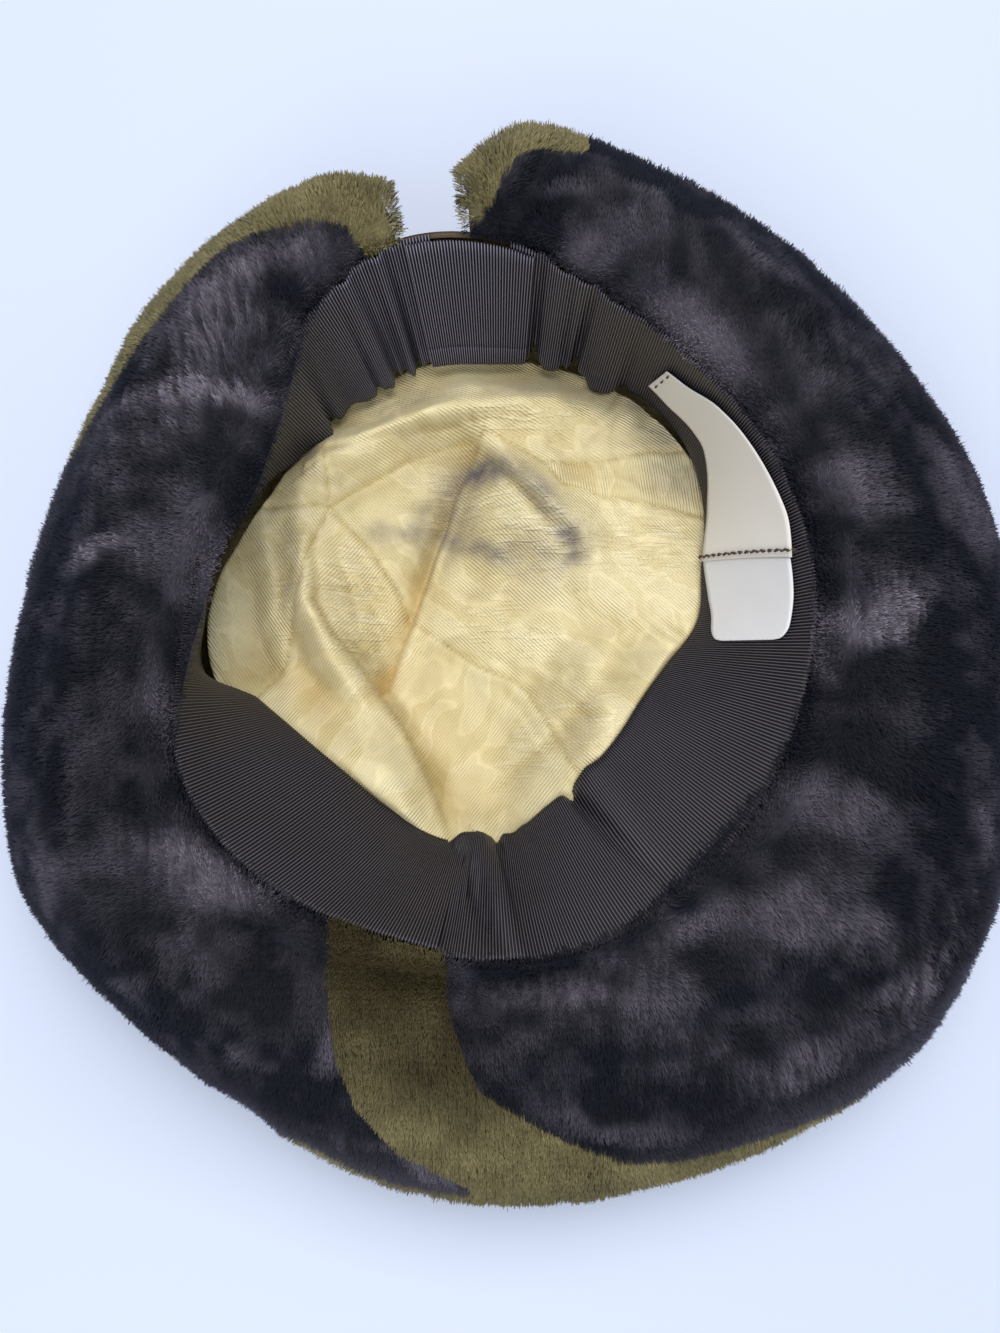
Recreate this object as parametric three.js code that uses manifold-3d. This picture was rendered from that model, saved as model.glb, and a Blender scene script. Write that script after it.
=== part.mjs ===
// A soft pieced brocade hat with a wide split brim of short plush. It lies upside down on its crushed
// crown: the head opening faces up, +Y points to the back of the hat and +X to the right as one looks
// down into it. Millimetres, +Z up, with the surface that it lies on at z = 0.

import * as THREE from 'three';
import { mergeVertices } from 'three/addons/utils/BufferGeometryUtils.js';
import Module from 'manifold-3d';

const wasm = await Module();
wasm.setup();

// Driving dimensions
const RIBBON_WIDTH = 46;        // grosgrain ribbon of the sweatband, edge to edge
const RIBBON_THICK = 1.0;
const LAP_THICK = 1.2;
const LABEL_THICK = 1.0;
const CLOTH_THICK = 1.8;        // brocade of the crown with its backing
const GAP = 0.3;                // clearance between neighbouring pieces
const BRIM_THICK = 16;          // both layers of plush together, backing and pile
const EDGE_PILE = 4;            // how far the pile's tips stand past the body of the brim
const LOCK_LENGTH = 21;
const LOCK_WIDTH = 17;
const LOCK_THICK = 7;
const SEAM_SLIT = 0.35;         // open width of a seam between two crown panels
const END_ROUNDING = 6;         // degrees over which the brim thins towards its two ends
const END_SHARE = 0.35;         // of its thickness left at the very end

// Sections of the counts that the surfaces are lofted with
const RING_SECTIONS = 52;
const BRIM_SECTIONS = 48;

// The sweatband and head seam, a row for each 15 degrees or so round the opening, anticlockwise from the
// hat's right. seam: radius of the head seam; top: its height; free: radius of the ribbon's free edge.
const HEAD_ROWS = [
  { at: 0, seam: 85.5, top: 86, free: 60 },
  { at: 15, seam: 85, top: 86, free: 64 },
  { at: 30, seam: 84.5, top: 86, free: 73 },
  { at: 45, seam: 84.5, top: 85, free: 81 },
  { at: 60, seam: 87, top: 84, free: 84.5 },
  { at: 75, seam: 93, top: 83, free: 86 },
  { at: 90, seam: 101.5, top: 82, free: 83 },
  { at: 105, seam: 104, top: 82, free: 84 },
  { at: 120, seam: 96.5, top: 83, free: 83 },
  { at: 135, seam: 85, top: 85, free: 79.5 },
  { at: 150, seam: 79.5, top: 87, free: 82 },
  { at: 165, seam: 79, top: 88, free: 86 },
  { at: 180, seam: 80, top: 88, free: 87.5 },
  { at: 190, seam: 84.4, top: 87.4, free: 88.5 },
  { at: 195, seam: 87, top: 87, free: 79 },
  { at: 198, seam: 88.6, top: 86.7, free: 74.5 },
  { at: 210, seam: 95, top: 85, free: 67 },
  { at: 225, seam: 96.5, top: 82, free: 63 },
  { at: 240, seam: 95, top: 79, free: 64 },
  { at: 255, seam: 94.5, top: 77, free: 68 },
  { at: 270, seam: 96, top: 76, free: 66 },
  { at: 285, seam: 95.5, top: 77, free: 57 },
  { at: 300, seam: 93, top: 79, free: 52.5 },
  { at: 315, seam: 90, top: 82, free: 49.5 },
  { at: 330, seam: 87, top: 84, free: 48.5 },
  { at: 345, seam: 85.5, top: 85, free: 52 },
];

// Soft pleats and puffs of the ribbon. at: degrees; wide: degrees; rise: how far the free edge stands
// into the hollow; seamRise: the same at the head seam.
const RIBBON_FOLDS = [
  { at: 76, wide: 4.5, rise: 4.5, seamRise: 1.5 },
  { at: 66, wide: 4.5, rise: 6, seamRise: 1 },
  { at: 109, wide: 2.2, rise: 2.5, seamRise: 1 },
  { at: 116, wide: 4.5, rise: 4, seamRise: 1.5 },
  { at: 130, wide: 5, rise: 3.5, seamRise: 1 },
  { at: 265, wide: 2.5, rise: 6, seamRise: 0.5 },
  { at: 271, wide: 3, rise: 3, seamRise: 1.5 },
  { at: 300, wide: 4, rise: 3, seamRise: 0 },
];

// The brim, one row for each section from its left end at the back, round the front, to its right end.
// edge: radius of the outer edge; low: its height; crest: how high the plush stands over the head seam;
// crestAt: how far out from the seam; sag: how much the middle hangs under a straight line; olive: width of
// the olive plush that shows inside the edge from above.
const BRIM_ROWS = [
  { at: 104.5, edge: 127, low: 60, crest: 3, crestAt: 9, sag: 0, olive: 8 },
  { at: 110, edge: 134, low: 55, crest: 5, crestAt: 11, sag: -2, olive: 9 },
  { at: 120, edge: 140, low: 49, crest: 6, crestAt: 14, sag: -4, olive: 9 },
  { at: 135, edge: 142, low: 43, crest: 6, crestAt: 16, sag: -5, olive: 8 },
  { at: 150, edge: 140.5, low: 39, crest: 5, crestAt: 16, sag: -5, olive: 6 },
  { at: 165, edge: 141, low: 36, crest: 5, crestAt: 16, sag: -5, olive: 2 },
  { at: 180, edge: 145, low: 34, crest: 4, crestAt: 16, sag: -4, olive: 0 },
  { at: 195, edge: 154, low: 30, crest: 4, crestAt: 18, sag: -5, olive: 0 },
  { at: 210, edge: 164, low: 27, crest: 5, crestAt: 20, sag: -5, olive: 0 },
  { at: 225, edge: 161.5, low: 26, crest: 5, crestAt: 20, sag: -5, olive: 0 },
  { at: 240, edge: 161.5, low: 28, crest: 5, crestAt: 18, sag: -6, olive: 0 },
  { at: 255, edge: 169, low: 30, crest: 7, crestAt: 11, sag: -5, olive: 0 },
  { at: 270, edge: 172.5, low: 31, crest: 9, crestAt: 9, sag: -3, olive: 0 },
  { at: 285, edge: 173, low: 33, crest: 9, crestAt: 10, sag: -3, olive: 0 },
  { at: 300, edge: 175, low: 36, crest: 8, crestAt: 14, sag: -3, olive: 0 },
  { at: 315, edge: 177, low: 38, crest: 5, crestAt: 20, sag: -4, olive: 0 },
  { at: 330, edge: 171.5, low: 37, crest: 4, crestAt: 22, sag: -5, olive: 0 },
  { at: 345, edge: 161.5, low: 35, crest: 4, crestAt: 20, sag: -5, olive: 0 },
  { at: 360, edge: 157.5, low: 34, crest: 4, crestAt: 18, sag: -5, olive: 0 },
  { at: 375, edge: 154.5, low: 36, crest: 4, crestAt: 18, sag: -5, olive: 0 },
  { at: 390, edge: 148, low: 40, crest: 4, crestAt: 17, sag: -5, olive: 0 },
  { at: 405, edge: 145, low: 44, crest: 5, crestAt: 16, sag: -5, olive: 0 },
  { at: 420, edge: 143.5, low: 48, crest: 6, crestAt: 15, sag: -4, olive: 0 },
  { at: 435, edge: 144.5, low: 53, crest: 7, crestAt: 14, sag: -3, olive: 2 },
  { at: 445, edge: 146.5, low: 57, crest: 7, crestAt: 14, sag: -2, olive: 8 },
  { at: 450, edge: 142, low: 60, crest: 6, crestAt: 12, sag: 0, olive: 9 },
  { at: 454.5, edge: 131, low: 64, crest: 4, crestAt: 10, sag: 0, olive: 9 },
];

// Soft ridges and hollows of the under side of the brim, as the crown's folds below
const BRIM_FOLDS = [
  { name: 'crease in the right end', left: 4, right: 6, path: [
    [0, 98, -3], [6, 111, -4], [13, 119, -4], [22, 124, -2]] },
  { name: 'front ridge', left: 10, right: 8, path: [
    [-10, -103, 1], [12, -104, 3], [38, -96, 3], [60, -84, 2]] },
  { name: 'valley behind the ridge', left: 9, right: 12, path: [
    [22, -122, -1], [48, -114, -3], [76, -98, -2]] },
  { name: 'left hollow', left: 14, right: 14, path: [[-112, 62, -2], [-118, 20, -3], [-112, -22, -1]] },
  { name: 'front left swell', left: 14, right: 14, path: [[-118, -50, 1], [-100, -84, 3], [-74, -108, 2]] },
  { name: 'right hollow', left: 13, right: 15, path: [[96, 72, -1], [116, 30, -3], [122, -12, -2]] },
  { name: 'lower right swell', left: 15, right: 15, path: [[128, -44, 1], [124, -84, 3], [98, -112, 2]] },
  { name: 'back right swell', left: 9, right: 10, path: [[50, 100, 1], [66, 92, 2], [82, 80, 1]] },
];

// The crown, one row for each 30 degrees. belly: widest radius of the wall; ring: radius of the ring
// that lies on the surface; near, mid: heights of the crushed tip at NEAR_SHARE and MID_SHARE of the way
// out to the ribbon's free edge; under: how far under that edge the cloth passes.
const CROWN_ROWS = [
  { at: 0, belly: 95, ring: 89, near: 37, mid: 42, under: 3 },
  { at: 30, belly: 95, ring: 91, near: 40, mid: 42, under: 3 },
  { at: 60, belly: 99, ring: 95, near: 43, mid: 41, under: 3 },
  { at: 90, belly: 109, ring: 98, near: 42, mid: 38, under: 7 },
  { at: 120, belly: 103, ring: 97, near: 29, mid: 32, under: 7 },
  { at: 150, belly: 93, ring: 91, near: 25, mid: 28, under: 6 },
  { at: 180, belly: 94, ring: 92, near: 21, mid: 27, under: 5 },
  { at: 210, belly: 101, ring: 92, near: 17, mid: 26, under: 5 },
  { at: 240, belly: 102, ring: 91, near: 19, mid: 25, under: 5 },
  { at: 270, belly: 102, ring: 92, near: 24, mid: 26, under: 5 },
  { at: 300, belly: 100, ring: 90, near: 30, mid: 40, under: 3.5 },
  { at: 330, belly: 96, ring: 88, near: 34, mid: 45, under: 3 },
];
const TIP_MIDDLE = 31;          // height of the crushed tip at the middle of the head opening
const NEAR_SHARE = 0.38;
const MID_SHARE = 0.7;

// Folds of the crushed tip, one row for each, with its path in plan from the middle of the head opening
// as [x, y, rise]: the rise of a ridge, or the depth of a groove. left, right: its spread on each side
// of the path.
const CROWN_FOLDS = [
  { name: 'left roll', left: 9, right: 15, path: [
    [-20, -62, 6], [-28, -46, 12], [-37, -27, 17], [-49, -9, 19], [-56, 8, 18], [-57, 24, 15],
    [-58, 42, 9]] },
  { name: 'back roll', left: 8, right: 9, path: [
    [-50, 50, 8], [-29, 62, 13], [-8, 68, 13], [18, 66, 10], [38, 62, 4]] },
  { name: 'hump', left: 10, right: 12, path: [[22, 18, 5], [18, 31, 9], [10, 42, 10], [0, 54, 6]] },
  { name: 'step beside the hump', left: 5, right: 9, path: [
    [-8, 46, -6], [-14, 30, -8], [-22, 13, -7], [-26, 0, -4]] },
  { name: 'deep valley', left: 6, right: 11, path: [
    [-44, 8, -4], [-39, -9, -8], [-33, -21, -9], [-25, -34, -8], [-19, -46, -7], [-10, -58, -5]] },
  { name: 'front fold', left: 6, right: 8, path: [[24, -8, 3], [30, -24, 5], [24, -40, 2]] },
  { name: 'right fold', left: 7, right: 9, path: [[34, 12, 2], [46, 0, 4], [50, -14, 2]] },
];

// Soft upright gathers of the crown's wall. at, wide: degrees; rise: how far it stands out at the belly.
const WALL_FOLDS = [
  { at: 8, wide: 9, rise: 3 }, { at: 40, wide: 7, rise: -3 }, { at: 68, wide: 8, rise: 3 },
  { at: 97, wide: 6, rise: -3 }, { at: 128, wide: 8, rise: 2.5 }, { at: 156, wide: 6, rise: -2.5 },
  { at: 188, wide: 8, rise: 3 }, { at: 222, wide: 7, rise: -3 }, { at: 250, wide: 9, rise: 3 },
  { at: 283, wide: 6, rise: -3 }, { at: 311, wide: 8, rise: 2.5 }, { at: 338, wide: 6, rise: -2.5 },
];

// Seams of the pieced crown in plan, from the middle of the head opening. Each runs out past the crown's
// wall.
const LEFT_JUNCTION = [-50, 37];
const HUMP_JUNCTION = [14, 48];
const SEAM_BETWEEN = [LEFT_JUNCTION, [-36, 43], [-20, 51], [-5, 59], HUMP_JUNCTION];
const SEAM_UP = [LEFT_JUNCTION, [-52, 53], [-62, 130]];
const SEAM_LEFT = [LEFT_JUNCTION, [-71, 36], [-140, 42]];
const SEAM_FRONT_LEFT = [LEFT_JUNCTION, [-56, 24], [-60, 7], [-64, -12], [-115, -80]];
const SEAM_FRONT = [LEFT_JUNCTION, [-38, 22], [-24, 5], [-11, -10], [11, -22], [25, -48], [62, -130]];
const SEAM_RIGHT_HIGH = [HUMP_JUNCTION, [39, 51], [64, 54], [125, 78]];
const SEAM_RIGHT_LOW = [HUMP_JUNCTION, [45, 37], [63, 32], [140, 30]];

// Plan outline of the olive plush that crosses the under side, from the middle of the head opening.
const OLIVE_OUTLINE = [
  [-48, -60], [-44, -85], [-44, -100], [-42, -123], [-38, -137], [-27, -152], [-8, -163], [-4, -195],
  [150, -170],
  [128, -128], [111, -137], [93, -145], [76, -150], [53, -155], [36, -155], [20, -147], [6, -138], [-4, -130],
  [-8, -120], [-12, -107], [-13, -96], [-14, -60],
];

// The labels as places on the ribbon, one row for each line across a label. seamAt, seamShare: degrees
// and share of the ribbon's width at its edge by the head seam; freeAt, freeShare: the same at its other
// edge.
const SATIN_LABEL_ROWS = [
  { seamAt: 54.8, seamShare: 0.3, freeAt: 57.2, freeShare: 0.67 },
  { seamAt: 49, seamShare: 0.26, freeAt: 51, freeShare: 0.72 },
  { seamAt: 43, seamShare: 0.13, freeAt: 44.5, freeShare: 0.66 },
  { seamAt: 37, seamShare: 0.09, freeAt: 39.5, freeShare: 0.64 },
  { seamAt: 30, seamShare: 0.08, freeAt: 34.5, freeShare: 0.75 },
  { seamAt: 23, seamShare: 0.07, freeAt: 29.5, freeShare: 0.87 },
  { seamAt: 16, seamShare: 0.06, freeAt: 22.5, freeShare: 0.94 },
  { seamAt: 8, seamShare: 0.12, freeAt: 15.5, freeShare: 0.96 },
];
const CARE_LABEL_ROWS = [
  { seamAt: 6.6, seamShare: 0.16, freeAt: 13, freeShare: 0.94 },
  { seamAt: 0.5, seamShare: 0.15, freeAt: 4, freeShare: 0.88 },
  { seamAt: -7.5, seamShare: 0.18, freeAt: -7.5, freeShare: 0.77 },
];

const radians = (degrees) => (degrees * Math.PI) / 180;
const clamp = (value, low, high) => Math.min(high, Math.max(low, value));
const mix = (a, b, t) => a + (b - a) * t;
const smoothstep = (t) => t * t * (3 - 2 * t);

// A column of a table at any angle, by a cubic through its rows. A closed table starts again after 360
// degrees.
function column(rows, name, angle, closed) {
  const count = rows.length;
  const first = rows[0].at;
  const at = closed ? first + (((angle - first) % 360) + 360) % 360 : clamp(angle, first, rows[count - 1].at);
  const row = (i) => {
    if (!closed) {
      return rows[clamp(i, 0, count - 1)];
    }
    const turn = Math.floor(i / count);
    const found = rows[i - turn * count];
    return { at: found.at + 360 * turn, [name]: found[name] };
  };
  let i = 0;
  while (i < count - (closed ? 1 : 2) && row(i + 1).at <= at) {
    i += 1;
  }
  const [p, a, b, q] = [row(i - 1), row(i), row(i + 1), row(i + 2)];
  const span = b.at - a.at;
  const t = (at - a.at) / span;
  const slopeA = p.at === a.at ? 0 : ((b[name] - p[name]) / (b.at - p.at)) * span;
  const slopeB = q.at === b.at ? 0 : ((q[name] - a[name]) / (q.at - a.at)) * span;
  const t2 = t * t;
  const t3 = t2 * t;
  return (2 * t3 - 3 * t2 + 1) * a[name] + (t3 - 2 * t2 + t) * slopeA
    + (3 * t2 - 2 * t3) * b[name] + (t3 - t2) * slopeB;
}

const head = (name, angle) => column(HEAD_ROWS, name, angle, true);
const brim = (name, angle) => column(BRIM_ROWS, name, angle, false);
const crown = (name, angle) => column(CROWN_ROWS, name, angle, true);

// A point from polar values about the middle of the head opening
function polar(angle, radius, height) {
  return new THREE.Vector3(radius * Math.cos(radians(angle)), radius * Math.sin(radians(angle)), height);
}

// What a table of upright folds adds at an angle
function aroundFolds(folds, angle, riseOf) {
  let rise = 0;
  for (const fold of folds) {
    const off = ((((angle - fold.at) % 360) + 540) % 360 - 180) / fold.wide;
    rise += riseOf(fold) * Math.exp(-off * off);
  }
  return rise;
}

// How far the ribbon stands into the hollow at a place, from its pleats and puffs
function ribbonRise(angle, share) {
  return aroundFolds(RIBBON_FOLDS, angle, (fold) => mix(fold.seamRise, fold.rise, share));
}

// Head side of the ribbon: share 0 is the head seam and 1 the free edge. lift moves it into the hollow.
function ribbonPoint(angle, share, lift) {
  const seam = head('seam', angle);
  const inward = seam - head('free', angle);
  const drop = Math.sqrt(RIBBON_WIDTH ** 2 - inward ** 2);
  const stand = ribbonRise(angle, share) + lift;
  const radius = seam - inward * share - (stand * drop) / RIBBON_WIDTH;
  const height = head('top', angle) - drop * share + (stand * inward) / RIBBON_WIDTH;
  return polar(angle, radius, height);
}

// The mesh of a closed body from a grid of rings, each an array of points. The rings' ends meet when
// closedRound is true; otherwise the first and last ring are filled in.
function loftRings(rings, closedRound) {
  const count = rings[0].length;
  const positions = rings.flat().flatMap((p) => [p.x, p.y, p.z]);
  const faces = [];
  const last = closedRound ? rings.length : rings.length - 1;
  for (let i = 0; i < last; i += 1) {
    const next = ((i + 1) % rings.length) * count;
    for (let j = 0; j < count; j += 1) {
      const k = (j + 1) % count;
      faces.push(i * count + j, next + j, next + k, i * count + j, next + k, i * count + k);
    }
  }
  if (!closedRound) {
    for (const [ring, turned] of [[0, true], [rings.length - 1, false]]) {
      const flat = flatten(rings[ring]);
      const base = ring * count;
      const swap = turned === THREE.ShapeUtils.isClockWise(flat);
      for (const [a, b, c] of THREE.ShapeUtils.triangulateShape(flat, [])) {
        faces.push(base + a, ...(swap ? [base + c, base + b] : [base + b, base + c]));
      }
    }
  }
  const geometry = new THREE.BufferGeometry();
  geometry.setAttribute('position', new THREE.Float32BufferAttribute(positions, 3));
  geometry.setIndex(faces);
  return outward(geometry);
}

// A ring of points that lies in an upright plane, as 2D points: distance from the axis, and height
function flatten(points) {
  return points.map((p) => new THREE.Vector2(Math.hypot(p.x, p.y), p.z));
}

// Turns a closed mesh's faces over if they point in
function outward(geometry) {
  const p = geometry.attributes.position;
  const index = geometry.index.array;
  const [a, b, c] = [new THREE.Vector3(), new THREE.Vector3(), new THREE.Vector3()];
  let volume = 0;
  for (let i = 0; i < index.length; i += 3) {
    a.fromBufferAttribute(p, index[i]);
    b.fromBufferAttribute(p, index[i + 1]);
    c.fromBufferAttribute(p, index[i + 2]);
    volume += a.dot(b.cross(c));
  }
  if (volume < 0) {
    for (let i = 0; i < index.length; i += 3) {
      [index[i + 1], index[i + 2]] = [index[i + 2], index[i + 1]];
    }
  }
  return geometry;
}

function toSolid(geometry) {
  const bare = geometry.clone();
  bare.deleteAttribute('normal');
  bare.deleteAttribute('uv');
  const merged = mergeVertices(bare, 1e-4);
  const corners = Array.from(merged.index.array);
  const kept = [];
  for (let i = 0; i < corners.length; i += 3) {
    const [a, b, c] = corners.slice(i, i + 3);
    if (a !== b && b !== c && c !== a) {
      kept.push(a, b, c);
    }
  }
  return new wasm.Manifold(new wasm.Mesh({
    numProp: 3,
    vertProperties: new Float32Array(merged.attributes.position.array),
    triVerts: new Uint32Array(kept),
  }));
}

function toGeometry(solid) {
  const { vertProperties, triVerts } = solid.getMesh();
  const geometry = new THREE.BufferGeometry();
  geometry.setAttribute('position', new THREE.Float32BufferAttribute(vertProperties, 3));
  geometry.setIndex(Array.from(triVerts));
  return geometry;
}

// Limit on how far the corner of a sharp outline moves out
const SHARPEST = 0.15;
const PRISM_FOOT = -50;         // a cutting prism starts under the hat and ends over it
const PRISM_DEPTH = 200;

// A tall prism over a plan outline, used to cut a piece out of a layer
function planPrism(outline) {
  const shape = new THREE.Shape(outline.map(([x, y]) => new THREE.Vector2(x, y)));
  const prism = new THREE.ExtrudeGeometry(shape, { depth: PRISM_DEPTH, bevelEnabled: false });
  return toSolid(prism.translate(0, 0, PRISM_FOOT));
}

// A plan outline moved out by a margin, or in by a margin below 0
function moved(outline, margin) {
  const corners = outline.map(([x, y]) => new THREE.Vector2(x, y));
  const sign = THREE.ShapeUtils.isClockWise(corners) ? -1 : 1;
  const count = corners.length;
  return corners.map((corner, i) => {
    const before = corner.clone().sub(corners[(i + count - 1) % count]).normalize();
    const after = corners[(i + 1) % count].clone().sub(corner).normalize();
    const along = before.clone().add(after).normalize();
    const reach = (sign * margin) / Math.max(SHARPEST, along.dot(before));
    return [corner.x + along.y * reach, corner.y - along.x * reach];
  });
}

// The ribbon as a loft of thin sections between two angles
function ribbonLoft(from, to, sections, thickness, lift, shares) {
  const rings = [];
  for (let i = 0; i <= sections; i += 1) {
    const angle = mix(from, to, i / sections);
    const inner = shares.map((share) => ribbonPoint(angle, share, lift));
    const outer = shares.map((share) => ribbonPoint(angle, share, lift - thickness)).reverse();
    rings.push([...inner, ...outer]);
  }
  return loftRings(rings, false);
}

// The long ribbon. Its two gathered ends lie under the lap at the centre back.
const LAP_FROM = 83.5;
const LAP_TO = 104;
const LAP_CLEAR = 0.9;          // how far the lap stands off the gathered ends under it
const END_UNDER_LAP = 4;
const GATHER_SECTIONS = 26;     // further sections that the ribbon's gathers ask for
const LAP_SECTIONS = 10;
const LAP_MARGIN = 0.01;        // share of the width by which the lap's edges lie off the ribbon's
function buildSweatband() {
  const from = LAP_TO - END_UNDER_LAP;
  const to = LAP_FROM + END_UNDER_LAP + 360;
  return ribbonLoft(from, to, RING_SECTIONS + GATHER_SECTIONS, RIBBON_THICK, 0, [0, 0.5, 1]);
}

function buildBackLap() {
  const shares = [LAP_MARGIN, 0.5, 1 + LAP_MARGIN];
  return ribbonLoft(LAP_FROM, LAP_TO, LAP_SECTIONS, LAP_THICK, LAP_THICK + LAP_CLEAR, shares);
}

// A label that follows the ribbon's head side, from the rows of its lines across
const LABEL_CLEAR = 0.7;
const LABEL_STEPS = 2;
function labelLoft(rows) {
  const rings = [];
  for (let i = 0; i + 1 < rows.length; i += 1) {
    const steps = i + 2 === rows.length ? LABEL_STEPS + 1 : LABEL_STEPS;
    for (let step = 0; step < steps; step += 1) {
      const along = (name) => mix(rows[i][name], rows[i + 1][name], step / LABEL_STEPS);
      const places = [0, 0.5, 1].map((t) => [
        mix(along('seamAt'), along('freeAt'), t), mix(along('seamShare'), along('freeShare'), t)]);
      const front = places.map(([angle, share]) => ribbonPoint(angle, share, LABEL_CLEAR + LABEL_THICK));
      const back = places.map(([angle, share]) => ribbonPoint(angle, share, LABEL_CLEAR)).reverse();
      rings.push([...front, ...back]);
    }
  }
  return loftRings(rings, false);
}

// How far the ribbon leans out from the head seam to its free edge, 0 where it leans in
function outwardLean(angle) {
  return Math.max(0, head('free', angle) - head('seam', angle));
}

// Height of the ribbon's free edge
function freeHeight(angle) {
  const inward = head('seam', angle) - head('free', angle);
  return head('top', angle) - Math.sqrt(RIBBON_WIDTH ** 2 - inward ** 2);
}

// Height of the crushed tip's head side at a place in plan. It keeps under the ribbon.
const RIBBON_CLEAR = 3.4;
const STEEPEST = 1.6;
function tipHeight(x, y) {
  const radius = Math.hypot(x, y);
  const angle = (Math.atan2(y, x) * 180) / Math.PI;
  const free = head('free', angle);
  const edge = freeHeight(angle);
  const knots = [0, NEAR_SHARE * free, MID_SHARE * free, free];
  const heights = [TIP_MIDDLE, crown('near', angle), crown('mid', angle), edge - crown('under', angle)];
  let i = 0;
  while (i < 2 && radius > knots[i + 1]) {
    i += 1;
  }
  const share = clamp((radius - knots[i]) / (knots[i + 1] - knots[i]), 0, 1);
  const folded = CROWN_FOLDS.reduce((sum, fold) => sum + foldHeight(fold, x, y), 0);
  const limit = edge - RIBBON_CLEAR + STEEPEST * Math.max(0, free - radius);
  return Math.min(mix(heights[i], heights[i + 1], smoothstep(share)) + folded, limit);
}

// What one fold adds at a place: a rounded ridge or groove along its path that dies out past both ends
function foldHeight(fold, x, y) {
  let best = Infinity;
  let rise = 0;
  for (let i = 0; i + 1 < fold.path.length; i += 1) {
    const [ax, ay, from] = fold.path[i];
    const [bx, by, to] = fold.path[i + 1];
    const [dx, dy] = [bx - ax, by - ay];
    const t = clamp(((x - ax) * dx + (y - ay) * dy) / (dx * dx + dy * dy), 0, 1);
    const [ox, oy] = [x - ax - t * dx, y - ay - t * dy];
    const spread = dx * oy - dy * ox > 0 ? fold.left : fold.right;
    const off = Math.hypot(ox, oy) / spread;
    if (off < best) {
      best = off;
      rise = mix(from, to, t);
    }
  }
  return rise * Math.exp(-best * best);
}

// The crown's wall, one row for each ring of points. out: share of the way from the head seam to the
// belly, or past it to the resting ring; high: share of the head seam's height.
const WALL_ROWS = [
  { out: 0, high: 0.955 },
  { out: 0.7, high: 0.72 },
  { out: 1, high: 0.44 },
  { out: 1.6, high: 0.17 },
];
const CROWN_CLEAR = RIBBON_THICK + 0.5;
const WALL_LEAN = 0.055;        // share of the ribbon's outward lean that the wall's top edge follows
const RING_FOOT = 4;            // half width of the ring that lies on the surface
function crownWallRing(row) {
  return Array.from({ length: RING_SECTIONS }, (unused, i) => {
    const angle = (360 * i) / RING_SECTIONS;
    const seam = head('seam', angle) + CROWN_CLEAR + WALL_LEAN * outwardLean(angle);
    const belly = crown('belly', angle) + aroundFolds(WALL_FOLDS, angle, (fold) => fold.rise);
    const foot = crown('ring', angle) + RING_FOOT;
    const radius = row.out <= 1 ? mix(seam, belly, row.out) : mix(belly, foot, row.out - 1);
    return polar(angle, radius, head('top', angle) * row.high);
  });
}

// The rings of the crushed tip, from the one that lies on the surface to the middle
const TIP_RISE_TO = 13;         // how far inside the resting ring the cloth has risen to the tip's height
const TIP_FOOT_PLACES = [-RING_FOOT, -1, RING_FOOT, 7, 10, TIP_RISE_TO];
const TIP_RING_STEP = 6.8;
const TIP_MEAN = 78;            // mean radius at which the tip's own rings start
const TIP_LEAST = 8;            // fewest points of a ring near the middle
const TIP_FINER = 1.25;         // how much finer than the wall its points lie
function tipRing(inside, share, count) {
  return Array.from({ length: count }, (unused, i) => {
    const angle = (360 * i) / count;
    const radius = (crown('ring', angle) - Math.min(inside, TIP_RISE_TO)) * (1 - share);
    const point = polar(angle, radius, 0);
    const rise = smoothstep(clamp((inside - RING_FOOT) / (TIP_RISE_TO - RING_FOOT), 0, 1));
    const foot = inside < -RING_FOOT / 2 ? CLOTH_THICK : 0;
    point.z = CLOTH_THICK + foot + rise * Math.max(0, tipHeight(point.x, point.y) - CLOTH_THICK);
    return point;
  });
}

function tipRings() {
  const rings = TIP_FOOT_PLACES.map((inside) => tipRing(inside, 0, RING_SECTIONS));
  for (let inside = TIP_RING_STEP; inside < TIP_MEAN - TIP_RING_STEP / 2; inside += TIP_RING_STEP) {
    const share = inside / TIP_MEAN;
    const wanted = Math.round(RING_SECTIONS * (1 - share) * TIP_FINER);
    const count = Math.min(RING_SECTIONS, Math.max(TIP_LEAST, wanted));
    rings.push(tipRing(TIP_RISE_TO, share, count));
  }
  return rings;
}

// Joins two rings of different counts with triangles, going round both by angle
function stitch(faces, startA, countA, startB, countB) {
  let i = 0;
  let j = 0;
  while (i < countA || j < countB) {
    const a = startA + (i % countA);
    const b = startB + (j % countB);
    if (j >= countB || (i < countA && (i + 1) / countA <= (j + 1) / countB)) {
      faces.push(a, startA + ((i + 1) % countA), b);
      i += 1;
    } else {
      faces.push(a, startB + ((j + 1) % countB), b);
      j += 1;
    }
  }
}

// The whole crown: the head side, and the outer side a cloth's thickness away, flattened where it lies
function buildCrown() {
  const rings = [...WALL_ROWS.map(crownWallRing), ...tipRings()];
  const middle = new THREE.Vector3(0, 0, tipHeight(0, 0));
  const points = [...rings.flat(), middle];
  const faces = [];
  let start = 0;
  for (let i = 0; i + 1 < rings.length; i += 1) {
    stitch(faces, start, rings[i].length, start + rings[i].length, rings[i + 1].length);
    start += rings[i].length;
  }
  const last = rings[rings.length - 1].length;
  for (let i = 0; i < last; i += 1) {
    faces.push(start + i, start + ((i + 1) % last), points.length - 1);
  }
  return thickSheet(points, faces, rings[0].length, CLOTH_THICK);
}

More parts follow.
